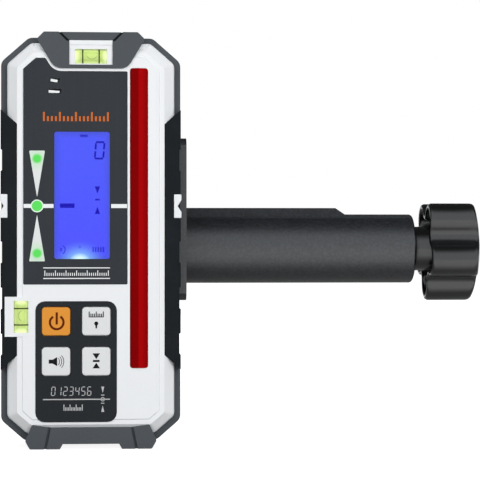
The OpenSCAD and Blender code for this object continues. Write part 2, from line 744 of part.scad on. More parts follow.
// White front shell with its bevel, its pockets and the posts behind it
module front_housing() {
    color(white)
        difference() {
            union() {
                difference() {
                    loft([case_ring(raised_in + step_h, y_face), case_ring(raised_in, y_face + step_h),
                        case_ring(face_in, y_face + step_h),
                        case_ring(rim_w + soft, y_bevel - soft * bevel_d / bevel_w),
                        case_ring(rim_w, y_bevel + soft), case_ring(rim_w, y_part)]);
                    slab(case_outline(front_in), y_in, y_part + cut);
                    slab(case_outline(inner_in), y_step, y_part + cut);
                }
                intersection() {
                    union() {
                        slab(cap_outline(wall), y_in - soft, y_cap_floor + wall);
                        block(-top_block_w / 2 - wall, top_block_w / 2 + wall, y_in - soft, y_block_back + wall,
                            top_block_z0 - wall, body_h);
                        block(-half_w, side_block_x1 + wall, y_in - soft, y_block_back + wall,
                            side_block_z[0] - wall, side_block_z[1] + wall);
                    }
                    union() {
                        slab(case_outline(rim_w + soft), y_face, y_part);
                        slab(case_outline(inner_in + boss_gap), y_part - soft, y_block_back + wall);
                    }
                }
                for (p = screw_places) {
                    rod_y(p[0], p[1], screw_post_r, y_in - soft, y_part);
                }
                for (p = post_places) {
                    rod_y(p[0], p[1], post_r, y_in - soft, y_board);
                }
            }
            slab(cap_outline(), y_cap - cut, y_cap_floor);
            slab(bumper_outline, y_cap - cut, y_cap_floor);
            slab(grip_outline(cut), y_cap - cut, y_lip);
            mirror([1, 0, 0])
                slab(grip_outline(cut), y_cap - cut, y_lip);
            slab(display_outline, y_cap - cut, y_pocket);
            slab(keypad_outline, y_cap - cut, y_pocket);
            slab(lcd_rectangle(lcd_border), y_cap, y_in + cut);
            for (side = [1, -1]) {
                slab(arrow_outline(side), y_cap, y_in + cut);
            }
            rod_y(light_x, zero_z, dot_r, y_cap, y_in + cut);
            for (row = [0, 1]) {
                slab(slot_outline(row), y_cap, y_in + cut);
            }
            for (x = key_x, z = key_z) {
                slab(key_outline(x, z, key_gap), y_cap, y_in + cut);
            }
            slab(window_outline, y_cap, y_in + cut);
            block(-top_block_w / 2, top_block_w / 2, y_cap, y_block_back, top_block_z0, top_block_z1);
            block(side_deep_x0, side_block_x1, y_cap - cut, y_block_back, side_block_z[0], side_block_z[1]);
            for (p = screw_places) {
                rod_y(p[0], p[1], screw_r + fit_gap, y_part - screw_bite, y_part + cut);
            }
            for (p = post_places) {
                rod_y(p[0], p[1], board_screw_r + fit_gap, y_board - board_gap + soft, y_board + cut);
            }
        }
}

// Dark rear shell with the battery bay, the door's recess and the screw posts
module rear_housing() {
    color(dark_grey)
        difference() {
            union() {
                difference() {
                    loft([case_ring(soft, y_part), case_ring(0, y_part + soft), case_ring(0, y_back - back_r),
                        case_ring(back_r * (1 - cos(30)), y_back - back_r * (1 - sin(30))),
                        case_ring(back_r * (1 - cos(60)), y_back - back_r * (1 - sin(60))),
                        case_ring(back_r, y_back)]);
                    slab(case_outline(inner_in), y_part - cut, y_rear_in);
                    slab(grip_outline(cut), y_part - cut, y_grip_back);
                    mirror([1, 0, 0])
                        slab(grip_outline(cut), y_part - cut, y_grip_back);
                }
                grip_core();
                mirror([1, 0, 0])
                    grip_core();
                intersection() {
                    block(-door_hw - bay_wall, door_hw + bay_wall, y_bay - bay_wall, y_back - soft,
                        hinge_z - 2 * barrel_r, door_z1 + bay_wall);
                    slab(case_outline(rim_w), y_bay - bay_wall, y_back - soft);
                }
                for (p = screw_places) {
                    rod_y(p[0], p[1], screw_post_r, y_part, y_rear_in + soft);
                }
                rod_y(0, clamp_screw_z, insert_r + wall, y_back - insert_l - wall, y_rear_in + soft);
            }
            difference() {
                slab(case_outline(inner_in - (seal_w + wall) / 2), y_part - cut, y_part + seal_d);
                slab(case_outline(inner_in - (wall - seal_w) / 2), y_part - 2 * cut, y_part + seal_d + cut);
            }
            block(-bay_hw, bay_hw, y_bay, y_back + cut, bay_z0, bay_z1);
            slab(door_outline(door_gap), y_ledge, y_back + cut);
            block(-barrel_hw - door_gap, barrel_hw + door_gap, y_ledge, y_back + cut,
                hinge_z - barrel_r - door_gap, door_z0);
            block(-door_hw + door_chamfer / 2, door_hw - door_chamfer / 2, y_ledge, y_back + cut,
                hinge_z + knuckle_r, door_z0);
            rod_x(y_hinge, hinge_z, barrel_r + door_gap, -barrel_hw - door_gap, barrel_hw + door_gap);
            rod_x(y_hinge, hinge_z, pin_r + fit_gap, -pin_hw, pin_hw);
            for (p = screw_places) {
                rod_y(p[0], p[1], screw_r + 0.15, y_part - cut, y_back + cut);
                rod_y(p[0], p[1], screw_head_r + 0.15, y_back - screw_head_t - 0.2, y_back + cut);
            }
            rod_y(0, clamp_screw_z, insert_r + fit_gap, y_back - insert_l, y_back + cut);
            for (z = peg_z) {
                rod_y(0, z, peg_r + peg_gap, y_back - peg_l - peg_gap, y_back + cut);
            }
        }
}

// The rear housing's side wall behind a grip, on the right
module grip_core() {
    intersection() {
        slab(grip_outline(cut), y_part, y_grip_back);
        difference() {
            block(half_w - inner_in, grip_x, y_part, y_grip_back, 0, body_h);
            slab(case_outline(inner_in), y_part - cut, y_grip_back + cut);
        }
    }
}

// Rubber ring in the groove between the housings
module housing_seal() {
    color(black)
        difference() {
            slab(case_outline(inner_in - (seal_w + wall) / 2), y_part, y_part + seal_d);
            slab(case_outline(inner_in - (wall - seal_w) / 2), y_part - cut, y_part + seal_d + cut);
        }
}

// Screws that pull the housings together from the back
module housing_screws() {
    color("silver")
        for (p = screw_places) {
            difference() {
                union() {
                    rod_y(p[0], p[1], screw_r, y_part - screw_bite + 0.3, y_back - 0.2 - screw_head_t + soft);
                    rod_y(p[0], p[1], screw_head_r, y_back - 0.2 - screw_head_t, y_back - 0.2);
                }
                for (turn = [0, 90]) {
                    translate([p[0], y_back, p[1]])
                        rotate([0, turn, 0])
                            cube([screw_head_r * 1.3, 2, 0.6], center = true);
                }
            }
        }
}

// Cap over the top, with the slanted shelf above the vial
module top_cap() {
    shelf_z = top_block_z1 - 0.2;
    shelf_d = 1.2;
    groove_d = 2.3;
    color(dark_grey)
        difference() {
            union() {
                slab(cap_outline(), y_cap, y_cap_floor);
                intersection() {
                    slab(cap_outline(), y_cap, y_back - back_r);
                    union() {
                        block(-half_w, half_w, y_cap, y_part, base_z1, body_h);
                        block(-half_w, half_w, y_cap, y_back - back_r, rim_z1, body_h);
                    }
                }
            }
            block(-top_block_w / 2, top_block_w / 2, y_cap - cut, y_block_back, top_block_z0, top_block_z1);
            slab([[-top_block_w / 2 - 0.4, shelf_z], [top_block_w / 2 + 0.4, shelf_z],
                [top_block_w / 2 + 4.2, body_h + 0.4], [-top_block_w / 2 - 4.2, body_h + 0.4]],
                y_cap - cut, y_cap + shelf_d);
            for (side = [-1, 1]) {
                slab([for (p = [[0.2, shelf_z], [1.1, shelf_z], [4.9, body_h + 0.4], [4, body_h + 0.4]])
                    [side * (top_block_w / 2 + p[0]), p[1]]], y_cap - cut, y_cap + groove_d);
            }
        }
}

// Bumper under the case, with two feet that a bar joins at the back
module bottom_bumper() {
    groove_turn = atan(1.9 / bumper_h);
    color(dark_grey)
        difference() {
            union() {
                slab(bumper_outline, y_cap, y_cap_floor);
                intersection() {
                    slab(bumper_outline, y_cap, y_back);
                    union() {
                        block(-half_w, half_w, y_cap, y_part, 0, base_z0);
                        block(-half_w, half_w, y_cap, y_back, 0, rim_z0);
                    }
                }
                block(-feet_gap_hw - 2, feet_gap_hw + 2, y_back - foot_bar, y_back, 0, foot_h + soft);
            }
            for (side = [-1, 1]) {
                translate([side * (bumper_mid_hw + 1), y_cap, bumper_h / 2])
                    rotate([0, -side * groove_turn, 0])
                        cube([1.1, 2.8, bumper_h * 1.4], center = true);
            }
        }
}

// One grip on the right: a rubber strip round the edge, with finger recesses and the zero mark's pocket
module grip() {
    difference() {
        intersection() {
            linear_extrude(body_h)
                polygon(rounded([[face_hw, y_lip], [face_hw, y_grip], [half_w, y_grip], [half_w, y_grip_back],
                    [grip_x, y_grip_back], [grip_x, y_part], [base_hw, y_part], [base_hw, y_lip]],
                    [0, 0.4, 1.8, 0.6, 0, 0, 0, 0]));
            slab(grip_outline(0), y_cap, y_back);
        }
        for (k = recess_steps) {
            slab([[half_w - recess_d, zero_z + k * recess_pitch - recess_l / 2 + 0.5],
                [half_w + cut, zero_z + k * recess_pitch - recess_l / 2 - 0.5],
                [half_w + cut, zero_z + k * recess_pitch + recess_l / 2 + 0.5],
                [half_w - recess_d, zero_z + k * recess_pitch + recess_l / 2 - 0.5]], y_cap, y_back);
        }
        zero_mark_blank();
    }
}

// Space of a zero mark, on the right
module zero_mark_blank() {
    block(half_w - mark_w, half_w + cut, y_grip - cut, y_lip, zero_z - mark_l / 2, zero_z + mark_l / 2);
    block(grip_x, half_w + cut, y_lip - cut, y_lip + mark_depth, zero_z - mark_l / 2, zero_z + mark_l / 2);
}

// One zero mark on the right, with its notch on the zero line
module zero_mark() {
    difference() {
        intersection() {
            zero_mark_blank();
            block(0, half_w + mark_proud, y_grip - mark_proud, y_back, 0, body_h);
        }
        slab([[half_w + mark_proud - notch_d, zero_z], [half_w + cut, zero_z - notch_hw],
            [half_w + cut, zero_z + notch_hw]], y_cap, y_back);
    }
}

module left_grip() {
    color(black)
        difference() {
            mirror([1, 0, 0])
                grip();
            block(side_block_x0, side_block_x1, y_cap, y_block_back, side_block_z[0], side_block_z[1]);
        }
}

module right_grip() {
    color(black)
        grip();
}

module zero_marks() {
    color(white) {
        zero_mark();
        mirror([1, 0, 0])
            zero_mark();
    }
}

// Front panels, display and lights

// Dark panel round the display, with the openings for lights and sound
module display_panel() {
    color("#3A3D41")
        difference() {
            slab(display_outline, y_face - panel_proud, y_pocket);
            slab(lcd_view, y_cap, y_in);
            for (side = [1, -1]) {
                slab(arrow_outline(side), y_cap, y_in);
            }
            rod_y(light_x, zero_z, dot_r, y_cap, y_in);
            for (row = [0, 1]) {
                slab(slot_outline(row), y_cap, y_in);
            }
        }
}

// Clear window in the display panel
module display_window() {
    color("lightblue", 0.4)
        slab(lcd_view, y_face - panel_proud, y_pocket);
}

// Display glass right behind the window
module display_glass() {
    color("#4B50FF")
        slab(lcd_rectangle(lcd_border), y_pocket, y_lcd_back);
}

// Light box between the display glass and the main board
module display_backlight() {
    color("white")
        slab(lcd_rectangle(lcd_border - 0.3), y_lcd_back, y_board);
}

// Two arrow lights and the round middle light, each with a post down to its lamp
module light_lenses() {
    color("#DDE8DD") {
        for (side = [1, -1]) {
            slab(arrow_outline(side), y_face - panel_proud, y_in);
        }
        rod_y(light_x, zero_z, dot_r - fit_gap, y_face - panel_proud, y_in);
        for (z = light_z) {
            rod_y(light_x, z, lens_post_r, y_in - 0.2, y_board - led_t - lens_gap);
        }
    }
}

// Lamps on the main board
module signal_lights() {
    color("#5BE35B")
        for (z = light_z) {
            block(light_x - led_w / 2, light_x + led_w / 2, y_board - led_t, y_board,
                z - led_w / 2, z + led_w / 2);
        }
}

// Dark panel round the keys
module keypad_panel() {
    color("#2E3236")
        difference() {
            slab(keypad_outline, y_face - panel_proud, y_pocket);
            for (x = key_x, z = key_z) {
                slab(key_outline(x, z, key_gap), y_cap, y_in);
            }
        }
}

// One key: a soft-edged cap, the flange behind the wall and the stem over its switch
module key(x, z) {
    loft([for (ring = [[0.5, 0], [0.15, 0.15], [0, 0.5], [0, y_key_flange - y_key + 0.1]])
        [for (p = key_outline(x, z, -ring[0])) [p[0], y_key + ring[1], p[1]]]]);
    slab(key_outline(x, z, key_flange), y_key_flange, y_key_flange + key_flange_t);
    rod_y(x, z, stem_r, y_key_flange + key_flange_t - 0.1, y_stem);
}

module power_key() {
    color("#E8963C")
        key(key_x[0], key_z[0]);
}

module unit_key() {
    color("#D9DBDC")
        key(key_x[1], key_z[0]);
}

module sound_key() {
    color("#D9DBDC")
        key(key_x[0], key_z[1]);
}

module mode_key() {
    color("#D9DBDC")
        key(key_x[1], key_z[1]);
}

// Red window with a flange behind the front wall
module receiver_window() {
    crown = 0.35;
    color("#A00A10")
        union() {
            intersection() {
                slab(window_outline, y_face - crown, y_in);
                translate([window_x, y_face - crown + window_w * window_w / 8 / crown, 0])
                    cylinder(r = window_w * window_w / 8 / crown, h = body_h, $fn = 200);
            }
            block(window_x0 - window_flange, window_x0 + window_w + window_flange, y_in, y_in + flange_t,
                window_z0 - window_flange, flange_top);
        }
}

// Board behind the red window
module sensor_board() {
    color("darkgreen")
        block(window_x - sensor_hw, window_x + sensor_hw, y_board - sensor_t, y_board,
            window_z0 - sensor_pad, board_z1);
}

// Row of photodiodes on the sensor board
module photodiodes() {
    color("#202028")
        for (i = [0:diode_count - 1]) {
            block(window_x - diode_w / 2, window_x + diode_w / 2, diode_top, y_board - sensor_t,
                diode_z0 + i * diode_pitch, diode_z0 + i * diode_pitch + diode_w);
        }
}

// Main board with holes for its screws and a notch for the side vial
module main_board() {
    color("green")
        difference() {
            block(board_x0, board_x1, y_board, y_board + board_t, board_z0, board_z1);
            block(board_x0 - cut, side_block_x1 + wall + 0.3, y_board - cut, y_board + board_t + cut,
                side_block_z[0] - wall - 0.3, side_block_z[1] + wall + 0.3);
            for (p = post_places) {
                rod_y(p[0], p[1], board_screw_r + 0.15, y_board - cut, y_board + board_t + cut);
            }
        }
}

// Screws that hold the main board on its posts
module board_screws() {
    color("silver")
        for (p = post_places) {
            rod_y(p[0], p[1], board_screw_r, y_board - board_gap + soft + 0.3, y_board + board_t + 0.5);
            rod_y(p[0], p[1], board_screw_r * 2, y_board + board_t, y_board + board_t + 1.2);
        }
}

// Buzzer behind the sound slots
module buzzer() {
    color("#202020")
        difference() {
            rod_y(buzzer_place[0], buzzer_place[1], buzzer_r, y_in + 0.3, y_board);
            rod_y(buzzer_place[0], buzzer_place[1], 1, y_in, y_in + 1.5);
        }
}

// Switches under the keys
module key_switches() {
    color("#303030")
        for (x = key_x, z = key_z) {
            block(x - switch_w / 2, x + switch_w / 2, y_board - switch_t, y_board,
                z - switch_w / 2, z + switch_w / 2);
            rod_y(x, z, plunger_r, y_board - switch_t - plunger_t, y_board - switch_t + 0.1);
        }
}

// Vials

// White block round the top vial, open to the front
module top_vial_block() {
    color(white)
        difference() {
            union() {
                block(-top_block_w / 2, top_block_w / 2, y_block, y_block_back, top_block_z0, top_block_z1);
                block(-top_block_w / 2, top_block_w / 2, y_block - ledge_d, y_block + soft,
                    top_block_z1 - ledge_h, top_block_z1);
            }
            block(-vial_l / 2 - vial_gap, vial_l / 2 + vial_gap, y_block - cut, y_vial,
                top_vial_z - vial_r - vial_gap, top_vial_z + vial_r + vial_gap);
            rod_x(y_vial, top_vial_z, vial_r + vial_gap, -vial_l / 2 - vial_gap, vial_l / 2 + vial_gap);
        }
}

module top_vial() {
    color("#DCEE80")
        rod_x(y_vial, top_vial_z, vial_r, -vial_l / 2, vial_l / 2);
}

// White block round the side vial, open to the front
module side_vial_block() {
    color(white)
        difference() {
            union() {
                block(side_block_x0, side_block_x1, y_block, y_lip, side_block_z[0], side_block_z[1]);
                block(side_deep_x0, side_block_x1, y_block, y_block_back, side_block_z[0], side_block_z[1]);
            }
            block(side_vial_x - vial_r - vial_gap, side_vial_x + vial_r + vial_gap, y_block - cut, y_vial,
                side_vial_z - vial_l / 2 - vial_gap, side_vial_z + vial_l / 2 + vial_gap);
            translate([side_vial_x, y_vial, side_vial_z - vial_l / 2 - vial_gap])
                cylinder(r = vial_r + vial_gap, h = vial_l + 2 * vial_gap);
        }
}

module side_vial() {
    color("#DCEE80")
        translate([side_vial_x, y_vial, side_vial_z - vial_l / 2])
            cylinder(r = vial_r, h = vial_l);
}

// Battery

// Middle of cell i along X
function cell_x(i) = (i - (cell_count - 1) / 2) * cell_pitch;
button_l = 1;
button_r = 2.75;

// Round cells side by side, every other one upside down
module battery_cells() {
    color("#B0A070")
        for (i = [0:cell_count - 1]) {
            translate([cell_x(i), y_cell, bay_z0 + bay_l / 2])
                rotate([i % 2 * 180, 0, 0])
                    translate([0, 0, -cell_l / 2]) {
                        cylinder(r = cell_d / 2, h = cell_l - button_l);
                        cylinder(r = button_r, h = cell_l);
                    }
        }
}

// Contact plates at both ends of the bay
module battery_contacts() {
    contact_w = cell_d - 3;
    contact_d = 9;
    color("silver")
        for (i = [0:cell_count - 1], z = [bay_z0, bay_z1 - contact_t]) {
            block(cell_x(i) - contact_w / 2, cell_x(i) + contact_w / 2,
                y_cell - contact_d / 2, y_cell + contact_d / 2, z, z + contact_t);
        }
}

// Door on the back, with a hinge barrel below and a finger groove near the top
module battery_door() {
    color(black)
        difference() {
            union() {
                slab(door_outline(0), y_door, y_back);
                block(-barrel_hw, barrel_hw, y_door, y_back, hinge_z, door_z0 + soft);
                rod_x(y_hinge, hinge_z, barrel_r, -barrel_hw, barrel_hw);
            }
            rod_x(y_hinge, hinge_z, pin_r + run_gap, -barrel_hw - cut, barrel_hw + cut);
            for (k = [0:2]) {
                block(-finger_hw, finger_hw, y_back - 0.6, y_back + cut, door_z1 - 6 - 2.4 * k,
                    door_z1 - 4.8 - 2.4 * k);
            }
        }
}

module door_hinge_pin() {
    color("silver")
        rod_x(y_hinge, hinge_z, pin_r, -pin_hw + 0.2, pin_hw - 0.2);
}

// Flat rubber ring between the bay's ledge and the door
module door_seal() {
    color(black)
        difference() {
            slab(door_outline(-0.5), y_ledge, y_door);
            slab(door_outline(-door_ledge + 0.1), y_ledge - cut, y_door + cut);
        }
}

// Clamp

// Threaded brass insert in the back of the case
module clamp_insert() {
    color("goldenrod")
        difference() {
            rod_y(0, clamp_screw_z, insert_r, y_back - insert_l, y_back);
            rod_y(0, clamp_screw_z, clamp_screw_r + fit_gap, y_back - insert_l - cut, y_back + cut);
        }
}

// Screw that holds the bracket, with its head sunk below the staff
module bracket_screw() {
    color("silver")
        difference() {
            union() {
                rod_y(0, clamp_screw_z, clamp_screw_r, y_back - insert_l + 0.5, y_plate - clamp_head_t);
                rod_y(0, clamp_screw_z, clamp_head_r, y_plate - clamp_head_t - 0.4, y_plate - 0.4);
            }
            translate([0, y_plate, clamp_screw_z])
                cube([clamp_head_r * 1.5, 2.4, 1.2], center = true);
        }
}

// Plate behind the case with the fixed jaw at its left end
module clamp_bracket() {
    color(black)
        difference() {
            union() {
                block(bracket_x0, flange_x0, y_back, y_plate, jaw_z0, jaw_z1);
                jaw_plate(bracket_x0, fixed_x1, y_back);
                for (z = peg_z) {
                    rod_y(0, z, peg_r, y_back - peg_l, y_back + soft);
                }
            }
            rod_y(0, clamp_screw_z, clamp_screw_r + 0.2, y_back - cut, y_plate + cut);
            rod_y(0, clamp_screw_z, clamp_head_r + 0.2, y_plate - clamp_head_t - 0.4, y_plate + cut);
            for (z = arm_screw_z) {
                rod_x(arm_screw_y, z, arm_screw_r + fit_gap, flange_x0 - arm_screw_l, flange_x0 + cut);
            }
        }
}

// A jaw's plate from x0 to x1, from y0 to the jaw's back edge, with round back corners
module jaw_plate(x0, x1, y0) {
    corner = 6;
    translate([x1, 0, 0])
        rotate([0, -90, 0])
            linear_extrude(x1 - x0)
                polygon(rounded([[jaw_z0, y0], [jaw_z1, y0], [jaw_z1, jaw_y1], [jaw_z0, jaw_y1]],
                    [0, 0, corner, corner]));
}

// A rubber pad on a jaw's face, with a groove for round staffs; side is 1 for a face towards +X
module jaw_pad(x, side) {
    y0 = y_plate + 1;
    y1 = jaw_y1 - 2;
    inset = 2;
    translate([x, 0, jaw_z0 + inset])
        linear_extrude(jaw_z1 - jaw_z0 - 2 * inset)
            polygon([[0, y0], [side * pad_t, y0], [side * pad_t, arm_y - groove_hw],
                [side * (pad_t - pad_groove), arm_y], [side * pad_t, arm_y + groove_hw],
                [side * pad_t, y1], [0, y1]]);
}

module fixed_jaw_pad() {
    color("#303336")
        jaw_pad(fixed_x1, 1);
}

// Flange, round tube with a closed end, and the rib that holds the key slot
module clamp_arm() {
    color(black)
        difference() {
            union() {
                translate([flange_x1, 0, 0])
                    rotate([0, -90, 0])
                        linear_extrude(arm_flange_t)
                            polygon(rounded([[flange_z0, y_back], [flange_z1, y_back], [flange_z1, jaw_y1],
                                [flange_z0, jaw_y1]], flange_r));
                translate([flange_x1 - soft, arm_y, arm_z])
                    rotate([0, 90, 0])
                        rotate_extrude($fn = 96)
                            polygon(rounded([[0, 0], [arm_r, 0], [arm_r, arm_x1 - flange_x1 + soft],
                                [0, arm_x1 - flange_x1 + soft]], [0, 0, arm_end_r, 0]));
                translate([0, arm_y + rib_w / 2, 0])
                    rotate([90, 0, 0])
                        linear_extrude(rib_w)
                            polygon([[flange_x1 - soft, arm_z + bore_r], [rib_x1 + rib_slope, arm_z + bore_r],
                                [rib_x1 + rib_slope, arm_z + arm_r - 0.2], [rib_x1, rib_top],
                                [flange_x1 - soft, rib_top]]);
            }
            rod_x(arm_y, arm_z, bore_r, flange_x0 - cut, arm_end_in);
            block(flange_x0 - cut, rib_x1, arm_y - slide_key_w / 2 - slide_gap,
                arm_y + slide_key_w / 2 + slide_gap, arm_z, slot_top);
            rod_x(arm_y, arm_z, spindle_r + run_gap, arm_end_in - cut, arm_x1 + cut);
            for (z = arm_screw_z) {
                rod_x(arm_screw_y, z, arm_screw_r + 0.2, flange_x0 - cut, flange_x1 + cut);
                rod_x(arm_screw_y, z, arm_head_r + 0.2, flange_x1 - arm_head_t - 0.2, flange_x1 + cut);
            }
        }
}

// Screws that join the arm to the bracket
module arm_screws() {
    color("silver")
        for (z = arm_screw_z) {
            difference() {
                union() {
                    rod_x(arm_screw_y, z, arm_screw_r, flange_x0 - arm_screw_l + 0.5, flange_x1 - arm_head_t);
                    rod_x(arm_screw_y, z, arm_head_r, flange_x1 - arm_head_t - 0.2, flange_x1 - 0.2);
                }
                translate([flange_x1 - 1.2, arm_screw_y, z])
                    rotate([0, 90, 0])
                        cylinder(r = arm_head_r * 0.55, h = 2, $fn = 6);
            }
        }
}

// Hollow bar in the arm that pushes the jaw; its key runs in the rib
module push_bar() {
    color("#55585C")
        difference() {
            union() {
                rod_x(arm_y, arm_z, bar_r, jaw_x1, bar_x1);
                block(key_x0, key_x1, arm_y - slide_key_w / 2, arm_y + slide_key_w / 2,
                    arm_z, slot_top - slide_gap);
            }
            rod_x(arm_y, arm_z, bar_bore_r, bar_bore_x0, bar_x1 - nut_l - 3);
            rod_x(arm_y, arm_z, spindle_r + 1, bar_bore_x0, bar_x1 + cut);
            rod_x(arm_y, arm_z, nut_r + fit_gap, bar_x1 - nut_l, bar_x1 + cut);
            rod_x(arm_y, arm_z, jaw_screw_r + fit_gap, jaw_x1 - cut, jaw_x1 + jaw_screw_l);
        }
}

// Moving jaw at the end of the push bar
module moving_jaw() {
    color(black)
        difference() {
            jaw_plate(jaw_x0, jaw_x1, y_plate + slide_gap);
            rod_x(arm_y, arm_z, jaw_screw_r + 0.2, jaw_x0 - cut, jaw_x1 + cut);
            rod_x(arm_y, arm_z, jaw_head_r + 0.2, jaw_x0 - cut, jaw_x0 + jaw_t / 2 + 0.1);
        }
}

module moving_jaw_pad() {
    color("#303336")
        jaw_pad(jaw_x0, -1);
}

// Screw under the pad that holds the jaw on the bar
module jaw_screw() {
    color("silver")
        union() {
            rod_x(arm_y, arm_z, jaw_screw_r, jaw_x0 + 1, jaw_x1 + jaw_screw_l - 0.5);
            rod_x(arm_y, arm_z, jaw_head_r, jaw_x0 + 0.1, jaw_x0 + jaw_t / 2 + 0.1);
        }
}

// Brass nut pressed into the bar
module spindle_nut() {
    color("goldenrod")
        difference() {
            rod_x(arm_y, arm_z, nut_r, bar_x1 - nut_l, bar_x1);
            rod_x(arm_y, arm_z, spindle_r + run_gap, bar_x1 - nut_l - cut, bar_x1 + cut);
        }
}

// Steel spindle with its collar, from inside the bar to the knob
module spindle() {
    color("silver")
        difference() {
            union() {
                rod_x(arm_y, arm_z, spindle_r, spindle_x0, spindle_x1);
                rod_x(arm_y, arm_z, collar_r, collar_x1 - collar_t, collar_x1);
            }
            rod_z(knob_pin_x, knob_pin_r + fit_gap, 2 * neck_r);
        }
}

// Washer between the spindle's collar and the arm's end
module thrust_washer() {
    color("goldenrod")
        difference() {
            rod_x(arm_y, arm_z, washer_r, arm_end_in - washer_t, arm_end_in);
            rod_x(arm_y, arm_z, spindle_r + 0.2, arm_end_in - washer_t - cut, arm_end_in + cut);
        }
}

// Knob: a lobed cup with soft edges and a domed end, and the hub on the spindle
module clamp_knob() {
    color(black)
        difference() {
            union() {
                intersection() {
                    translate([knob_x0 - cut, arm_y, arm_z])
                        rotate([90, 0, 90])
                            linear_extrude(knob_l + 2 * cut)
                                polygon(knob_outline(0));
                    translate([0, arm_y, arm_z])
                        rotate([0, 90, 0])
                            rotate_extrude($fn = 96)
                                polygon(knob_profile);
                }
                rod_x(arm_y, arm_z, neck_r, neck_x0, knob_x0 + soft);
            }
            difference() {
                translate([knob_x0 - cut, arm_y, arm_z])
                    rotate([90, 0, 90])
                        linear_extrude(knob_l - dome_h - knob_wall + cut)
                            polygon(knob_outline(knob_wall));
                rod_x(arm_y, arm_z, neck_r, neck_x0, knob_x1);
            }
            rod_x(arm_y, arm_z, spindle_r + fit_gap, neck_x0 - cut, spindle_x1);
            rod_z(knob_pin_x, knob_pin_r + fit_gap, 2 * neck_r + cut);
        }
}

// Cross pin through hub and spindle
module knob_pin() {
    color("silver")
        rod_z(knob_pin_x, knob_pin_r, 2 * neck_r - 0.4);
}

front_housing();
rear_housing();
housing_seal();
housing_screws();
top_cap();
bottom_bumper();
left_grip();
right_grip();
zero_marks();
display_panel();
display_window();
display_glass();
display_backlight();
light_lenses();
signal_lights();
keypad_panel();
power_key();
unit_key();
sound_key();
mode_key();
receiver_window();
sensor_board();
photodiodes();
main_board();
board_screws();
buzzer();
key_switches();
top_vial_block();
top_vial();
side_vial_block();
side_vial();
battery_cells();
battery_contacts();
battery_door();
door_hinge_pin();
door_seal();
clamp_insert();
bracket_screw();
clamp_bracket();
fixed_jaw_pad();
clamp_arm();
arm_screws();
push_bar();
moving_jaw();
moving_jaw_pad();
jaw_screw();
spindle_nut();
spindle();
thrust_washer();
clamp_knob();
knob_pin();
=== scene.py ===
"""Finishes, printed marks, knob, stage and camera of a laser receiver on its staff clamp."""

import math

import bpy
import numpy as np
from bpy.props import FloatProperty, FloatVectorProperty, PointerProperty
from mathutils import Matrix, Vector


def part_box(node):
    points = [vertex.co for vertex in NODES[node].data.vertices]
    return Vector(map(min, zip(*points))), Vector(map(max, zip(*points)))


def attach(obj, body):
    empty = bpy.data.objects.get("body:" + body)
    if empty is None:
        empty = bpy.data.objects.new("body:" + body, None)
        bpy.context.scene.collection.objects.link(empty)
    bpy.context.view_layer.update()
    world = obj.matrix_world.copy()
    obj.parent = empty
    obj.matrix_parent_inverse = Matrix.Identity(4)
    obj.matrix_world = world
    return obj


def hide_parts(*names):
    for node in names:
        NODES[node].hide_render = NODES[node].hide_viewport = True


bl_info = {
    "name": "Laser receiver",
    "version": (1, 0, 0),
    "blender": (4, 5, 0),
    "location": "View3D > Sidebar > Receiver",
    "description": "Finishes, printed marks, knob and stage of a laser receiver on its staff clamp",
    "category": "Object",
}

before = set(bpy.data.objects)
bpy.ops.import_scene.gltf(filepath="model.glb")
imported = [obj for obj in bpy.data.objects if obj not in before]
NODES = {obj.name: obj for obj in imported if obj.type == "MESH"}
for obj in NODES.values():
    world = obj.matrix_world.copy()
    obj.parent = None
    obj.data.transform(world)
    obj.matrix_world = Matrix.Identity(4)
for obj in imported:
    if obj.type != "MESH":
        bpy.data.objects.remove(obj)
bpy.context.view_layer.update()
MM = 0.001


def centre_mm(node):
    """Middle of a CAD node's box, in millimetres."""
    low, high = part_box(node)
    return (np.array(low) + np.array(high)) / 2 / MM


def front_mm(node):
    """Level of a CAD node's front, in millimetres."""
    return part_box(node)[0][1] / MM


def linear(code):
    """Linear red, green and blue of a six-digit colour code."""
    part = np.array([int(code[i:i + 2], 16) for i in (0, 2, 4)]) / 255
    return tuple(np.where(part <= 0.04045, part / 12.92, ((part + 0.055) / 1.055) ** 2.4))


# Reference levels of the case, in millimetres
ZERO_Z = float(centre_mm("zero_marks")[2])
PANEL_Y = float(front_mm("display_panel"))
KEY_Y = float(front_mm("power_key"))

# How far the arrow lamps stand above and below the zero line, in millimetres
LAMP_OFFSET = 20.2

# Hoops round a vial, in millimetres: distance from its middle, half the thickness and half the width
HOOP_AT, HOOP_RISE, HOOP_HALF = 3.5, 0.05, 0.28

# Knob, in millimetres: circle round its lobes, circles of a lobe and of a hollow, distance of a hollow's circle from
# the axis, and height of the domed end
KNOB_R, LOBE_R, HOLLOW_R, HOLLOW_AT, KNOB_DOME = 23.6, 7.4, 4.59, 20.39, 3.4
LOBES, KNOB_STEPS = 5, 300

# Soft boxes: name, place and side in metres, and power in watts; all face one point
LIGHTS = (("key", (0.6, -1.2, 0.42), 0.8, 10.2), ("fill", (-0.55, -1.2, 0.45), 0.8, 6.9),
          ("back", (0.45, 1.2, 0.6), 1.0, 18))
LIGHT_AIM = (0.05, 0.0, 0.09)
FLOOR_HALF = 4.0
SENSOR_MM = 36

# Sharper edges than this angle in degrees are made soft
EDGE_ANGLE = 38


def colour(name, code, description):
    """A colour property with its default."""
    return FloatVectorProperty(name=name, description=description, subtype="COLOR", size=3, min=0, max=1,
                               default=linear(code))


def length(name, millimetres, description):
    """A length property with its default in millimetres."""
    return FloatProperty(name=name, description=description, unit="LENGTH", min=0, default=millimetres * MM)


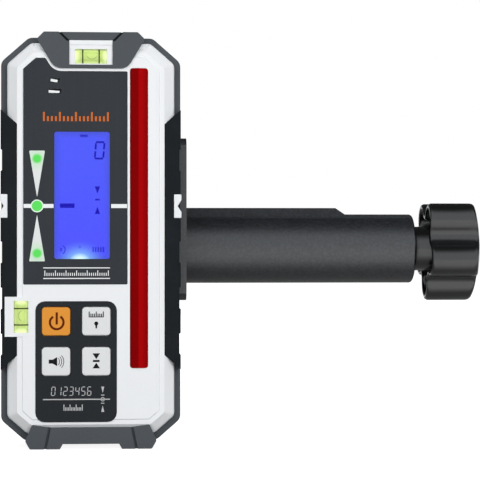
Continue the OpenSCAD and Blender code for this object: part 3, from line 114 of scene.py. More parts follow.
class ReceiverColours(bpy.types.PropertyGroup):
    """Colours of the receiver's finishes."""

    white: colour("White shell", "E6E8EA", "Front housing, zero marks and vial blocks")
    grey: colour("Grey shell", "4B4F53", "Rear housing, cap and bumper")
    grip: colour("Grips", "1B1E21", "Rubber grips at the sides")
    panel: colour("Panel", "34373B", "Panel round the display")
    keypad: colour("Keypad", "272A2D", "Panel round the keys")
    display: colour("Display", "4A4EFF", "Backlit display")
    ink: colour("Display segments", "1A0FA8", "Dark segments of the display")
    signal: colour("Signal lamps", "5AE55A", "Lit lamps behind the lenses")
    lens: colour("Lenses", "D9DCDB", "Frosted lenses")
    orange: colour("Power key", "DA9038", "Cap of the power key")
    key: colour("Keys", "D9DBDC", "Caps of the other keys")
    red: colour("Detector window", "9A0609", "Red window over the photodiodes")
    vial: colour("Vials", "BFD877", "Liquid of the bubble vials")
    arm: colour("Clamp", "121417", "Arm and jaws of the clamp")
    knob: colour("Knob", "090A0B", "Knob of the clamp")
    print_white: colour("White print", "E9EBEC", "White lines and marks")
    print_orange: colour("Orange print", "C8672E", "Orange marks on the panel")
    symbol: colour("Key symbols", "141618", "Symbols on the grey keys")
    power_symbol: colour("Power symbol", "5B2105", "Symbol on the power key")


class ReceiverSizes(bpy.types.PropertyGroup):
    """Sizes of the pieces that are added to the receiver."""

    print_rise: length("Print rise", 0.03, "How far printed marks stand off their surface")
    edge: length("Soft edge", 0.3, "Width of the soft edges on moulded pieces")
    camera_back: length("Camera distance", 866.0, "Camera's distance in front of the case's middle")
    camera_z: length("Camera height", 89.2, "Camera's height above the feet")
    lens: FloatProperty(name="Focal length", description="Camera's focal length in millimetres", min=1,
                        default=149.0)
    turn: FloatProperty(name="Camera turn", description="Camera's turn to the right of the case", subtype="ANGLE",
                        default=math.radians(4.29))


class Value:
    """One output of a material's nodes; arithmetic on it adds Math nodes."""

    def __init__(self, finish, socket):
        self.finish = finish
        self.socket = socket

    def math(self, operation, other=0.0, third=0.0, clamp=False):
        """The result of one Math node."""
        return self.finish.node("ShaderNodeMath", {0: self, 1: other, 2: third}, operation=operation,
                                use_clamp=clamp)

    def __add__(self, other):
        return self.math("ADD", other)

    def __sub__(self, other):
        return self.math("SUBTRACT", other)

    def __rsub__(self, other):
        return self.math("MULTIPLY_ADD", -1.0, other)

    def __mul__(self, other):
        return self.math("MULTIPLY", other)

    def __truediv__(self, other):
        return self.math("DIVIDE", other)

    def __abs__(self):
        return self.math("ABSOLUTE")

    def least(self, other):
        """The smaller of two values."""
        return self.math("MINIMUM", other)

    def most(self, other):
        """The larger of two values."""
        return self.math("MAXIMUM", other)

    def ramp(self, low, high):
        """0 at low, 1 at high and straight in between."""
        return self.math("MULTIPLY_ADD", 1 / (high - low), -low / (high - low), clamp=True)

    def wave(self, pitch):
        """A sine of this length, from 0 to 1."""
        return self.math("MULTIPLY", 2 * math.pi / pitch).math("SINE").math("MULTIPLY_ADD", 0.5, 0.5)


class Finish:
    """The nodes of a material or world, with values that are worked out from Object coordinates."""

    def __init__(self, owner):
        self.owner = owner
        owner.use_nodes = True
        self.tree = owner.node_tree
        self.tree.nodes.clear()
        self.point = self.node("ShaderNodeTexCoord", output="Object")

    def node(self, kind, inputs=None, output=0, **settings):
        """Adds one node, sets or links its inputs, and returns one of its outputs."""
        node = self.tree.nodes.new(kind)
        for name, value in settings.items():
            setattr(node, name, value)
        for name, value in (inputs or {}).items():
            if isinstance(value, Value):
                self.tree.links.new(value.socket, node.inputs[name])
            else:
                node.inputs[name].default_value = value
        return Value(self, node.outputs[output]) if node.outputs else None

    def place(self):
        """X, Y and Z of the shaded point, in millimetres."""
        apart = self.node("ShaderNodeSeparateXYZ", {0: self.point})
        axes = apart.socket.node.outputs
        return [Value(self, axes[i]) * (1 / MM) for i in range(3)]

    def noise(self, size_mm, detail=2.0, stretch=(1, 1, 1)):
        """Soft noise from 0 to 1 with features of this size, stretched along the axes."""
        scaled = self.node("ShaderNodeMapping", {"Vector": self.point, "Scale": stretch})
        return self.node("ShaderNodeTexNoise", {"Vector": scaled, "Scale": 1 / (size_mm * MM), "Detail": detail})

    def mix(self, factor, first, second):
        """A colour between two others."""
        first = first if isinstance(first, Value) else (*first, 1)
        second = second if isinstance(second, Value) else (*second, 1)
        return self.node("ShaderNodeMix", {"Factor": factor, 6: first, 7: second}, output=2, data_type="RGBA")

    def bump(self, height, depth_mm, strength=1.0):
        """A normal from a height map of this depth."""
        return self.node("ShaderNodeBump", {"Height": height, "Distance": depth_mm * MM, "Strength": strength})

    def rectangle(self, x, z, x0, z0, x1, z1, soft=0.08):
        """1 inside a rectangle in X and Z, 0 outside."""
        across = (abs(x - (x0 + x1) / 2) - (x1 - x0) / 2).ramp(soft, -soft)
        up = (abs(z - (z0 + z1) / 2) - (z1 - z0) / 2).ramp(soft, -soft)
        return across.least(up)

    def radius(self, x, z, cx, cz, stretch=1.0):
        """Distance from a point in X and Z, with Z stretched."""
        dx, dz = x - cx, (z - cz) * stretch
        return (dx * dx + dz * dz).math("SQRT")

    def surface(self, **inputs):
        """Ends the material with one principled shader; underscores in names stand for spaces."""
        named = {name.replace("_", " "): value for name, value in inputs.items()}
        for name, value in named.items():
            if not isinstance(value, (Value, float, int)):
                named[name] = (*value, 1)
        shader = self.node("ShaderNodeBsdfPrincipled", named)
        self.node("ShaderNodeOutputMaterial", {"Surface": shader})
        return self.owner


def shade(rgb, factor):
    """A colour made lighter or darker."""
    return tuple(min(1.0, float(c) * factor) for c in rgb)


def moulded(name, rgb, roughness, grain_mm=0.5, depth_mm=0.02, spread=0.06, shine=0.15, grain_glint=0.0, painted_shade=None,
            matt=None):
    """Moulded plastic: fine grain, and slow changes of tone and gloss. Grain glint makes the grain's high spots paler,
    as painted glints.
    Painted shade and matt are functions that give the share of painted shade, which darkens the colour, or of a matt
    skin at each place."""
    finish = Finish(bpy.data.materials.new(name))
    slow = finish.noise(22)
    grain = finish.noise(grain_mm, 3)
    base = finish.mix(slow, shade(rgb, 1 - spread), shade(rgb, 1 + spread))
    if grain_glint:
        # Painted glints: the grain's high spots paler
        base = finish.mix(grain.ramp(0.4, 0.7), base, shade(rgb, 1 + grain_glint))
    if painted_shade:
        # Painted shade: the colour darkened where the mask says
        base = finish.mix(painted_shade(finish), base, shade(rgb, 0.12))
    rough = slow * 0.08 + grain * 0.06 + (roughness - 0.07)
    if matt:
        rough = rough + matt(finish) * (0.9 - roughness)
    return finish.surface(Base_Color=base, Roughness=rough, Specular_IOR_Level=shine,
                          Normal=finish.bump(grain, depth_mm, 0.35))


def ribbed_rubber(name, rgb):
    """Soft rubber: a matt, finely pitted skin with dusty high spots."""
    finish = Finish(bpy.data.materials.new(name))
    pits = finish.noise(0.7, 4)
    dust = finish.noise(9, 4)
    base = finish.mix(dust.ramp(0.45, 0.8) * 0.35, rgb, shade(rgb, 1.9))
    return finish.surface(Base_Color=base, Roughness=dust * 0.15 + 0.55, Specular_IOR_Level=0.06,
                          Normal=finish.bump(pits, 0.05, 0.3))


def panel_film(name, rgb):
    """Printed film: faint upright brush lines under a satin skin."""
    finish = Finish(bpy.data.materials.new(name))
    lines = finish.noise(1.1, 3, (1, 1, 0.02))
    slow = finish.noise(30)
    base = finish.mix(lines * 0.6 + slow * 0.4, shade(rgb, 0.86), shade(rgb, 1.14))
    return finish.surface(Base_Color=base, Roughness=lines * 0.1 + 0.42, Specular_IOR_Level=0.06)


def metal(name, rgb, roughness):
    """Turned or drawn metal: fine scratches and small stains."""
    finish = Finish(bpy.data.materials.new(name))
    scratch = finish.noise(0.3, 4, (0.15, 1, 1))
    stain = finish.noise(4, 3)
    base = finish.mix(stain, shade(rgb, 0.85), shade(rgb, 1.1))
    return finish.surface(Base_Color=base, Roughness=scratch * 0.2 + (roughness - 0.1), Metallic=1.0,
                          Normal=finish.bump(scratch, 0.01, 0.3))


def ink(name, rgb):
    """Printing ink: nearly even, with a slightly uneven cover."""
    finish = Finish(bpy.data.materials.new(name))
    cover = finish.noise(0.8, 2)
    return finish.surface(Base_Color=finish.mix(cover, shade(rgb, 0.94), shade(rgb, 1.04)), Roughness=0.45,
                          Specular_IOR_Level=0.08)


def paint(node, material):
    """Gives a CAD node this finish."""
    mesh = NODES[node].data
    mesh.materials.clear()
    mesh.materials.append(material)


def soften(node, width):
    """Soft edges on a CAD node: its corners are joined, flat areas merged and sharp edges rounded."""
    obj = NODES[node]
    weld = obj.modifiers.new("join", "WELD")
    weld.merge_threshold = 1e-6
    flat = obj.modifiers.new("flat", "DECIMATE")
    flat.decimate_type = "DISSOLVE"
    flat.angle_limit = math.radians(0.4)
    bevel = obj.modifiers.new("edge", "BEVEL")
    bevel.width = width
    bevel.segments = 2
    bevel.limit_method = "ANGLE"
    bevel.angle_limit = math.radians(EDGE_ANGLE)
    bevel.harden_normals = True


def add_piece(name, points, faces, material, body, smooth=False):
    """One mesh piece from points in millimetres; it rides on a body and takes a slot's finish."""
    mesh = bpy.data.meshes.new(name)
    mesh.from_pydata((np.asarray(points) * MM).tolist(), [], faces)
    mesh.validate()
    if smooth:
        mesh.shade_smooth()
    mesh.materials.append(material)
    obj = bpy.data.objects.new(name, mesh)
    bpy.context.scene.collection.objects.link(obj)
    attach(obj, body)
    return obj


def band(path, widths, y, rise, closed=False):
    """A flat printed band: at each point of a path in X and Z, a rectangle of the given width, square to the path,
    from the level y forwards by rise. Returns its points and faces."""
    path = np.asarray(path, float)
    widths = np.broadcast_to(np.asarray(widths, float), (len(path),))
    if closed:
        ahead, behind = np.roll(path, -1, 0) - path, path - np.roll(path, 1, 0)
    else:
        ahead = np.vstack([path[1:] - path[:-1], path[-1:] - path[-2:-1]])
        behind = np.vstack([path[1:2] - path[:1], path[1:] - path[:-1]])
    ahead = ahead / np.linalg.norm(ahead, axis=1, keepdims=True)
    behind = behind / np.linalg.norm(behind, axis=1, keepdims=True)
    along = ahead + behind
    along = along / np.linalg.norm(along, axis=1, keepdims=True)
    spread = 1 / np.maximum((along * ahead).sum(1), 0.5)
    side = np.stack([-along[:, 1], along[:, 0]], 1) * (widths * spread / 2)[:, None]
    left, right = path + side, path - side
    front, back = np.full(len(path), y - rise), np.full(len(path), y)
    ring = np.stack([np.stack([left[:, 0], front, left[:, 1]], 1), np.stack([right[:, 0], front, right[:, 1]], 1),
                     np.stack([right[:, 0], back, right[:, 1]], 1), np.stack([left[:, 0], back, left[:, 1]], 1)], 1)
    count = len(path)
    i, k = np.meshgrid(np.arange(count if closed else count - 1), np.arange(4), indexing="ij")
    j, m = (i + 1) % count, (k + 1) % 4
    faces = np.stack([i * 4 + k, i * 4 + m, j * 4 + m, j * 4 + k], -1).reshape(-1, 4)
    if not closed:
        faces = np.vstack([faces, [3, 2, 1, 0], np.arange(4) + (count - 1) * 4])
    return ring.reshape(-1, 3), faces


def add_prints(name, strokes, y, material, body):
    """One piece of printed bands. A stroke is (path, width) or (path, width, True) for a closed path."""
    rise = bpy.context.scene.receiver_sizes.print_rise / MM
    points, faces, start = [], [], 0
    for stroke in strokes:
        corner, quads = band(stroke[0], stroke[1], y, rise, len(stroke) > 2 and stroke[2])
        points.append(corner)
        faces.append(quads + start)
        start += len(corner)
    return add_piece(name, np.vstack(points), np.vstack(faces).tolist(), material, body)


def bar(x0, x1, z, width):
    """A level stroke."""
    return ([(x0, z), (x1, z)], width)


def ticks(x0, x1, count, z, long_z, short_z, every, width):
    """A row of upright strokes from the level z, of which one in every few is longer."""
    return [([(x, z), (x, long_z if i % every == 0 else short_z)], width)
            for i, x in enumerate(np.linspace(x0, x1, count))]


def arrow(x, z_base, z_tip, width):
    """A filled triangle as a stroke that narrows to its tip."""
    return ([(x, z_base), (x, z_tip)], [width, 0.05])


def disc(x, z, r):
    """A filled circle as an upright stroke whose width is the chord."""
    t = np.linspace(-0.995, 0.995, 17)
    return (np.stack([np.full_like(t, x), z + r * t], 1), 2 * r * np.sqrt(1 - t * t))


def arc(x, z, r, start, end, width):
    """Part of a ring between two angles in degrees."""
    t = np.radians(np.linspace(start, end, 25))
    return (np.stack([x + r * np.cos(t), z + r * np.sin(t)], 1), width)


def ring(x, z, r, width):
    """A whole ring."""
    t = np.linspace(0, 2 * math.pi, 36, endpoint=False)
    return (np.stack([x + r * np.cos(t), z + r * np.sin(t)], 1), width, True)


# Bars of a seven-bar digit on a unit box: top, upper right, lower right, bottom, lower left, upper left, middle
DIGIT_BARS = [((0, 1), (1, 1)), ((1, 1), (1, 0.5)), ((1, 0.5), (1, 0)), ((1, 0), (0, 0)), ((0, 0), (0, 0.5)),
              ((0, 0.5), (0, 1)), ((0, 0.5), (1, 0.5))]
DIGITS = {0: (0, 1, 2, 3, 4, 5), 1: (1, 2), 2: (0, 1, 6, 4, 3), 3: (0, 1, 6, 2, 3), 4: (5, 6, 1, 2), 5: (0, 5, 6, 2, 3),
          6: (0, 5, 4, 3, 2, 6), 7: (0, 1, 2), 8: (0, 1, 2, 3, 4, 5, 6), 9: (6, 5, 0, 1, 2, 3)}


def digit(number, x, z, w, h, width, slant):
    """The bars of one digit, leaning to the right by slant, with small gaps between them."""
    strokes = []
    for which in DIGITS[number]:
        ends = np.array(DIGIT_BARS[which], float)
        ends = ends[0] + (ends[1] - ends[0]) * np.array([[0.1], [0.9]])
        strokes.append((np.stack([x + ends[:, 0] * w + ends[:, 1] * h * slant, z + ends[:, 1] * h], 1), width))
    return strokes


class RECEIVER_OT_case(bpy.types.Operator):
    """Finishes of the housings, cap, bumper, grips and marks"""

    bl_idname = "receiver.case"
    bl_label = "Case"

    def execute(self, context):
        colours, sizes = context.scene.receiver_colours, context.scene.receiver_sizes
        white = moulded("white_shell", colours.white, 0.42, spread=0.02)
        grey = moulded("grey_shell", colours.grey, 0.55, 0.6, 0.05)
        rubber = ribbed_rubber("grip_rubber", colours.grip)
        for node in ("front_housing", "zero_marks", "top_vial_block", "side_vial_block"):
            paint(node, white)
        for node in ("rear_housing", "bottom_bumper"):
            paint(node, grey)
        # The cap's grey gets painted shade along its slanted grooves
        paint("top_cap", moulded("grey_cap", colours.grey, 0.55, 0.6, 0.05, painted_shade=self.cap_groove_shade))
        for node in ("left_grip", "right_grip", "housing_seal", "door_seal"):
            paint(node, rubber)
        for node in ("top_cap", "bottom_bumper", "zero_marks"):
            soften(node, sizes.edge)
        return {"FINISHED"}

    def cap_groove_shade(self, finish):
        """Painted shade along the two slanted grooves, which rise from the vial block's upper corners to the cap's top.
        """
        block_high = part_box("top_vial_block")[1]
        low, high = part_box("top_cap")
        gap, lean, depth = 0.6, 3.8, 3.0
        foot_x, foot_z, top_z, front_y = block_high[0] / MM + gap, block_high[2] / MM, high[2] / MM, low[1] / MM
        x, y, z = finish.place()
        line_x = (z - foot_z) * (lean / (top_z - foot_z)) + foot_x
        groove = abs(abs(x) - line_x).ramp(1.0, 0.5)
        return groove * z.ramp(foot_z - gap, foot_z) * (y - front_y).ramp(depth, 2.4)


class RECEIVER_OT_display(bpy.types.Operator):
    """Panel, display, lenses and lamps"""

    bl_idname = "receiver.display"
    bl_label = "Display"

    def execute(self, context):
        colours = context.scene.receiver_colours
        paint("display_panel", panel_film("display_film", colours.panel))
        paint("display_window", self.clear_window())
        paint("display_glass", self.lit_display(colours))
        paint("display_backlight", moulded("diffuser", (0.9, 0.9, 0.95), 0.5))
        paint("light_lenses", self.frosted_lens(colours))
        paint("signal_lights", self.lamp(colours))
        return {"FINISHED"}

    def clear_window(self):
        """Clear plastic with a light scatter of fine scratches."""
        finish = Finish(bpy.data.materials.new("clear_window"))
        scratch = finish.noise(2, 4, (1, 1, 0.2))
        return finish.surface(Base_Color=(0.97, 0.98, 1.0), Roughness=scratch * 0.03, Transmission_Weight=1.0, IOR=1.1,
                              Specular_IOR_Level=0.1)

    def lit_display(self, colours):
        """Backlit display: a blue field, deeper at its edges, with a cold glow from its foot and dark segments."""
        low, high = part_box("display_window")
        x0, z0, x1, z1 = low[0] / MM, low[2] / MM, high[0] / MM, high[2] / MM
        finish = Finish(bpy.data.materials.new("lit_display"))
        x, _, z = finish.place()
        edge = (abs(x - (x0 + x1) / 2) - (x1 - x0) / 2).most(abs(z - (z0 + z1) / 2) - (z1 - z0) / 2)
        field = finish.mix((z - z0).ramp(0, 42), shade(colours.display, 1.2), (0.085, 0.11, 0.9))
        edge_tone = tuple(0.85 * c + 0.15 * g for c, g in zip(colours.display, (0.3, 0.5, 0.6)))
        field = finish.mix(edge.ramp(-2.8, 0), field, shade(edge_tone, 0.7))
        glow = finish.radius(x, z, (x0 + x1) / 2 - 0.9, z0 - 1.0, 1.25)
        field = finish.mix(glow.ramp(12, 1) * glow.ramp(12, 1), field, (0.35, 0.75, 1.0))
        field = finish.mix(glow.ramp(4.5, 1.5), field, (0.75, 1.0, 1.0))
        dark = None
        for mask in self.segments(finish, x, z):
            dark = mask if dark is None else dark.most(mask)
        face = finish.mix(dark * 0.92, field, colours.ink)
        return finish.surface(Base_Color=(0.02, 0.02, 0.05), Roughness=0.25, Emission_Color=face, Emission_Strength=1.0)

    def segments(self, finish, x, z):
        """Masks of the dark segments: a digit, the level bar, the level arrows and small symbols."""
        lean = x - (z - 127.5) * 0.08
        for x0, z0, x1, z1 in ((1.9, 130.6, 5.4, 131.4), (1.9, 123.6, 5.4, 124.4), (1.5, 127.9, 2.3, 130.6),
                               (5.1, 127.9, 5.9, 130.6), (1.5, 124.4, 2.3, 127.1), (5.1, 124.4, 5.9, 127.1)):
            yield finish.rectangle(lean, z, x0, z0, x1, z1, 0.12)
        yield finish.rectangle(x, z, -13.2, 102.9, -7.0, 104.8, 0.15)
        yield finish.rectangle(x, z, 1.8, 106.1, 3.7, 106.8, 0.15)
        yield (abs(x - 2.75) - (z - 109.0) * 0.37).ramp(0.12, -0.12).least(finish.rectangle(x, z, 1, 109.0, 5, 112.1))
        yield (abs(x - 2.75) - (103.4 - z) * 0.37).ramp(0.12, -0.12).least(finish.rectangle(x, z, 1, 100.3, 5, 103.4))
        yield finish.rectangle(x, z, -4.6, 133.2, -1.4, 134.2, 0.3) * 0.8
        wave = abs(finish.radius(x, z, -13.0, 85.1) - 2.0).ramp(0.4, 0.1)
        yield wave.least((x + 12.4).ramp(0.0, 0.6)).least(finish.rectangle(x, z, -13.5, 83.3, -10.4, 86.9)) * 0.7
        yield finish.rectangle(x, z, -13.2, 84.4, -12.3, 85.8, 0.2) * 0.6
        yield finish.radius(x, z, -4.8, 86.3).ramp(0.9, 0.4) * 0.35
        cells = (x - 0.6).wave(1.1).ramp(0.2, 0.4)
        yield cells.least(finish.rectangle(x, z, 0.6, 84.0, 5.8, 86.2, 0.2)) * 0.75

    def frosted_lens(self, colours):
        """Frosted lenses: pale plastic with a lit spot over each lamp, the round lens lit all over, and a painted green
        glow in the lens's colour round the upper and lower lamps.
        """
        low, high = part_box("light_lenses")
        middle_x = (low[0] + high[0]) / 2 / MM
        finish = Finish(bpy.data.materials.new("frosted_lens"))
        x, _, z = finish.place()
        spot = finish.radius(x, z, middle_x, ZERO_Z).ramp(2.4, 2.1)
        for lamp in (LAMP_OFFSET, -LAMP_OFFSET):
            spot = spot.most(finish.radius(x, z, middle_x, ZERO_Z + lamp).ramp(2.4, 1.4))
        halo = finish.radius(x, z, middle_x, ZERO_Z + LAMP_OFFSET).ramp(5.5, 1.5).most(
            finish.radius(x, z, middle_x, ZERO_Z - LAMP_OFFSET).ramp(5.5, 1.5))
        # Painted glow of the lamps, mixed into the lens's own colour
        base = finish.mix(halo * 0.3, colours.lens, colours.signal)
        lit = finish.mix(spot, (0.0, 0.0, 0.0), colours.signal)
        return finish.surface(Base_Color=finish.mix(spot, base, shade(colours.signal, 0.4)), Roughness=0.5,
                              Emission_Color=lit, Emission_Strength=0.48)

    def lamp(self, colours):
        """Lamp body: clear green plastic that glows."""
        finish = Finish(bpy.data.materials.new("lamp"))
        cloud = finish.noise(1.5)
        return finish.surface(Base_Color=finish.mix(cloud, shade(colours.signal, 0.6), colours.signal), Roughness=0.3,
                              Emission_Color=colours.signal, Emission_Strength=0.5)


class RECEIVER_OT_keys(bpy.types.Operator):
    """Keypad panel and keys"""

    bl_idname = "receiver.keys"
    bl_label = "Keys"

    def execute(self, context):
        colours = context.scene.receiver_colours
        paint("keypad_panel", panel_film("keypad_film", colours.keypad))
        paint("power_key", moulded("power_key_cap", colours.orange, 0.45, 0.4, 0.01, 0.03))
        grey = moulded("key_cap", colours.key, 0.45, 0.4, 0.01, 0.02)
        for node in ("unit_key", "sound_key", "mode_key"):
            paint(node, grey)
        return {"FINISHED"}


class RECEIVER_OT_detector(bpy.types.Operator):
    """Red detector window, darker towards its edges as painted shade, with a painted highlight band"""

    bl_idname = "receiver.detector"
    bl_label = "Detector window"

    def execute(self, context):
        colours = context.scene.receiver_colours
        low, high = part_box("receiver_window")
        x0, x1 = low[0] / MM, high[0] / MM
        finish = Finish(bpy.data.materials.new("red_window"))
        x = finish.place()[0]
        share = (x - x0) / (x1 - x0)
        cloud = finish.noise(3, 3, (1, 1, 0.25))
        # Painted light across the window: darker at the left edge, a painted highlight band from just past the middle,
        # and painted shade fading to the right edge
        base = finish.mix(share.ramp(0.0, 0.2), shade(colours.red, 0.38), shade(colours.red, 0.62))
        base = finish.mix(share.ramp(0.44, 0.52), base, shade(colours.red, 1.15))
        base = finish.mix(share.ramp(0.62, 0.98), base, shade(colours.red, 0.45))
        base = finish.mix(cloud * 0.2, base, shade(colours.red, 0.75))
        paint("receiver_window", finish.surface(Base_Color=base, Roughness=cloud * 0.08 + 0.2,
                                                Specular_IOR_Level=0.01))
        return {"FINISHED"}


class RECEIVER_OT_vials(bpy.types.Operator):
    """Vials with their lines and bubbles"""

    bl_idname = "receiver.vials"
    bl_label = "Vials"

    def execute(self, context):
        colours = context.scene.receiver_colours
        for node, along in (("top_vial", 0), ("side_vial", 2)):
            paint(node, self.liquid(node, along, colours.vial))
            self.add_lines(node, along)
        return {"FINISHED"}

    def liquid(self, node, along, rgb):
        """Liquid with painted light: a faint painted glow all over, paler and glowing more towards its ends and sides,
        and a bubble that is paler inside, with painted shade along its lower edge.
        """
        middle = centre_mm(node)
        low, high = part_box(node)
        half = float(high[along] - low[along]) / 2 / MM
        finish = Finish(bpy.data.materials.new(node + "_liquid"))
        axes = finish.place()
        far = axes[along] - float(middle[along])
        side = axes[2 - along] - float(middle[2 - along])
        # Painted light: the liquid paler and glowing more towards its ends and sides
        edge = abs(far).ramp(half - 2.2, half).most(abs(side).ramp(1.6, 3.4))
        pale = (0.85, 0.95, 0.5)
        base = finish.mix(edge * 0.7, rgb, pale)
        bubble = finish.radius(far, side, 0.4, 0.5, 1.35)
        base = finish.mix(bubble.ramp(2.3, 1.9) * 0.35, base, shade(rgb, 1.3))
        # Painted shade along the bubble's lower edge
        bubble_edge_shade = abs(bubble - 2.1).ramp(0.35, 0.05) * side.ramp(0.6, -0.4)
        base = finish.mix(bubble_edge_shade * 0.6, base, shade(rgb, 0.35))
        # Painted glow, though the vial is no lamp
        glow = finish.mix(edge, shade(rgb, 0.03), shade(pale, 0.35))
        return finish.surface(Base_Color=base, Roughness=0.12, Coat_Weight=0.25, Coat_Roughness=0.05,
                              Emission_Color=glow, Emission_Strength=1.0)

    def add_lines(self, node, along):
        """Two dark hoops round a vial: a small flat section carried round the vial's axis, at radius x cos(angle) and
        radius x sin(angle) from it."""
        middle = centre_mm(node)
        low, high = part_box(node)
        inner = float(high[1] - low[1]) / 2 / MM
        turn = np.linspace(0, 2 * math.pi, 48, endpoint=False)
        points, faces = [], []
        section = np.array([(inner - HOOP_RISE, -HOOP_HALF), (inner + HOOP_RISE, -HOOP_HALF),
                            (inner + HOOP_RISE, HOOP_HALF), (inner - HOOP_RISE, HOOP_HALF)])
        for place in (-HOOP_AT, HOOP_AT):
            radius, shift = section[:, 0], section[:, 1] + place
            ring_points = np.zeros((len(turn), 4, 3))
            ring_points[:, :, along] = middle[along] + shift
            ring_points[:, :, 1] = middle[1] + np.outer(np.cos(turn), radius)
            ring_points[:, :, 2 - along] = middle[2 - along] + np.outer(np.sin(turn), radius)
            i, k = np.meshgrid(np.arange(len(turn)), np.arange(4), indexing="ij")
            j, m = (i + 1) % len(turn), (k + 1) % 4
            quads = np.stack([i * 4 + k, i * 4 + m, j * 4 + m, j * 4 + k], -1)
            quads = quads if along == 2 else quads[..., ::-1]
            faces += (quads.reshape(-1, 4) + sum(len(p) for p in points)).tolist()
            points.append(ring_points.reshape(-1, 3))
        add_piece(node + "_lines", np.vstack(points), faces, ink("vial_line", (0.05, 0.07, 0.02)), "receiver")


class RECEIVER_OT_panel_prints(bpy.types.Operator):
    """Printed lines and marks on the display panel, and painted light on the sound slots' lower walls"""

    bl_idname = "receiver.panel_prints"
    bl_label = "Panel prints"

    def execute(self, context):
        colours = context.scene.receiver_colours
        white = ink("white_print", colours.print_white)
        zero_line = [bar(-28.6, -25.6, ZERO_Z, 1.7), bar(-20.2, -15.9, ZERO_Z, 1.7), bar(8.6, 15.4, ZERO_Z, 1.7)]
        add_prints("zero_line", zero_line, PANEL_Y, white, "receiver")
        frame_lines = [bar(-20.3, 8.1, 77.3, 0.4), bar(-20.3, 8.1, 72.8, 0.4)]
        scale = ticks(-19.6, 7.4, 31, 73.9, 76.2, 75.2, 5, 0.35)
        add_prints("panel_scale", frame_lines + scale, PANEL_Y, white, "receiver")
        orange = ticks(-20, 7.2, 17, 139.9, 143.8, 142.0, 4, 0.8)
        add_prints("orange_scale", orange, PANEL_Y, ink("orange_print", colours.print_orange), "receiver")
        # White bands at the lower side of each sound slot stand for the slots' lower walls: the housing's own white,
        # brightened as painted light
        lit_slot_walls = [([(-17.1, 157.4), (-14.2, 156.9)], 1.1), ([(-18.0, 152.6), (-13.4, 152.2)], 1.1)]
        add_prints("sound_slot_lit_walls", lit_slot_walls, PANEL_Y + 0.25, white, "receiver")
        ring_light = [ring(float(centre_mm("light_lenses")[0]), ZERO_Z, 2.52, 0.42)]
        add_prints("middle_light_ring", ring_light, PANEL_Y, ink("pale_green", (0.72, 0.9, 0.74)), "receiver")
        return {"FINISHED"}


class RECEIVER_OT_keypad_prints(bpy.types.Operator):
    """Printed marks on the keypad panel"""

    bl_idname = "receiver.keypad_prints"
    bl_label = "Keypad prints"

    def execute(self, context):
        colours = context.scene.receiver_colours
        pale = ink("keypad_print", shade(colours.print_white, 0.6))
        strokes = [bar(-20.4, 8.1, 21.2, 0.45)]
        for place in range(7):
            strokes += digit(place, -16.9 + place * 2.55, 22.9, 1.5, 3.6, 0.3, 0.08)
        strokes += ticks(-11.5, -3.7, 13, 16.4, 19.0, 17.8, 4, 0.35)
        strokes += [arrow(5.0, 26.6, 24.0, 1.3), arrow(5.0, 15.8, 18.4, 1.3), bar(4.3, 5.7, 23.0, 0.35),
                    bar(4.3, 5.7, 19.5, 0.35), ring(5.0, 21.2, 0.75, 0.3)]
        add_prints("keypad_scale", strokes, PANEL_Y, pale, "receiver")
        return {"FINISHED"}


class RECEIVER_OT_key_symbols(bpy.types.Operator):
    """Symbols on the keys, which travel with them"""

    bl_idname = "receiver.key_symbols"
    bl_label = "Key symbols"

    def execute(self, context):
        colours = context.scene.receiver_colours
        black = ink("key_symbol", colours.symbol)
        x, _, z = centre_mm("power_key")
        power = [arc(x + 0.3, z - 0.4, 2.9, 122, 418, 0.95), ([(x + 0.3, z - 1.3), (x + 0.3, z + 3.9)], 0.95)]
        add_prints("power_symbol", power, KEY_Y, ink("power_print", colours.power_symbol), "power_key")
        x, _, z = centre_mm("unit_key")
        ruler = ticks(x - 3.0, x + 3.0, 9, z + 2.0, z + 4.2, z + 3.3, 4, 0.44)
        ruler += [bar(x - 3.2, x + 3.2, z + 1.85, 0.3)]
        bulb = [disc(x, z - 0.9, 0.85), ([(x, z - 1.5), (x, z - 3.0)], [0.9, 0.6])]
        add_prints("unit_symbol", ruler + bulb, KEY_Y, black, "unit_key")
        x, _, z = centre_mm("sound_key")
        horn = [([(x - 3.1, z), (x - 1.4, z), (x + 0.5, z)], [1.7, 1.7, 3.9])]
        waves = [arc(x - 0.6, z, r, -42, 42, 0.28) for r in (2.1, 3.0, 3.9)]
        add_prints("sound_symbol", horn + waves, KEY_Y, black, "sound_key")
        x, _, z = centre_mm("mode_key")
        level = [arrow(x, z + 3.3, z + 1.0, 3.0), arrow(x, z - 2.8, z - 0.6, 3.0), bar(x - 1.4, x + 1.4, z + 0.2, 0.9)]
        level += [bar(x - 1.5, x + 1.5, z + 3.3, 0.3), bar(x - 1.5, x + 1.5, z - 2.8, 0.3)]
        add_prints("mode_symbol", level, KEY_Y, black, "mode_key")
        return {"FINISHED"}


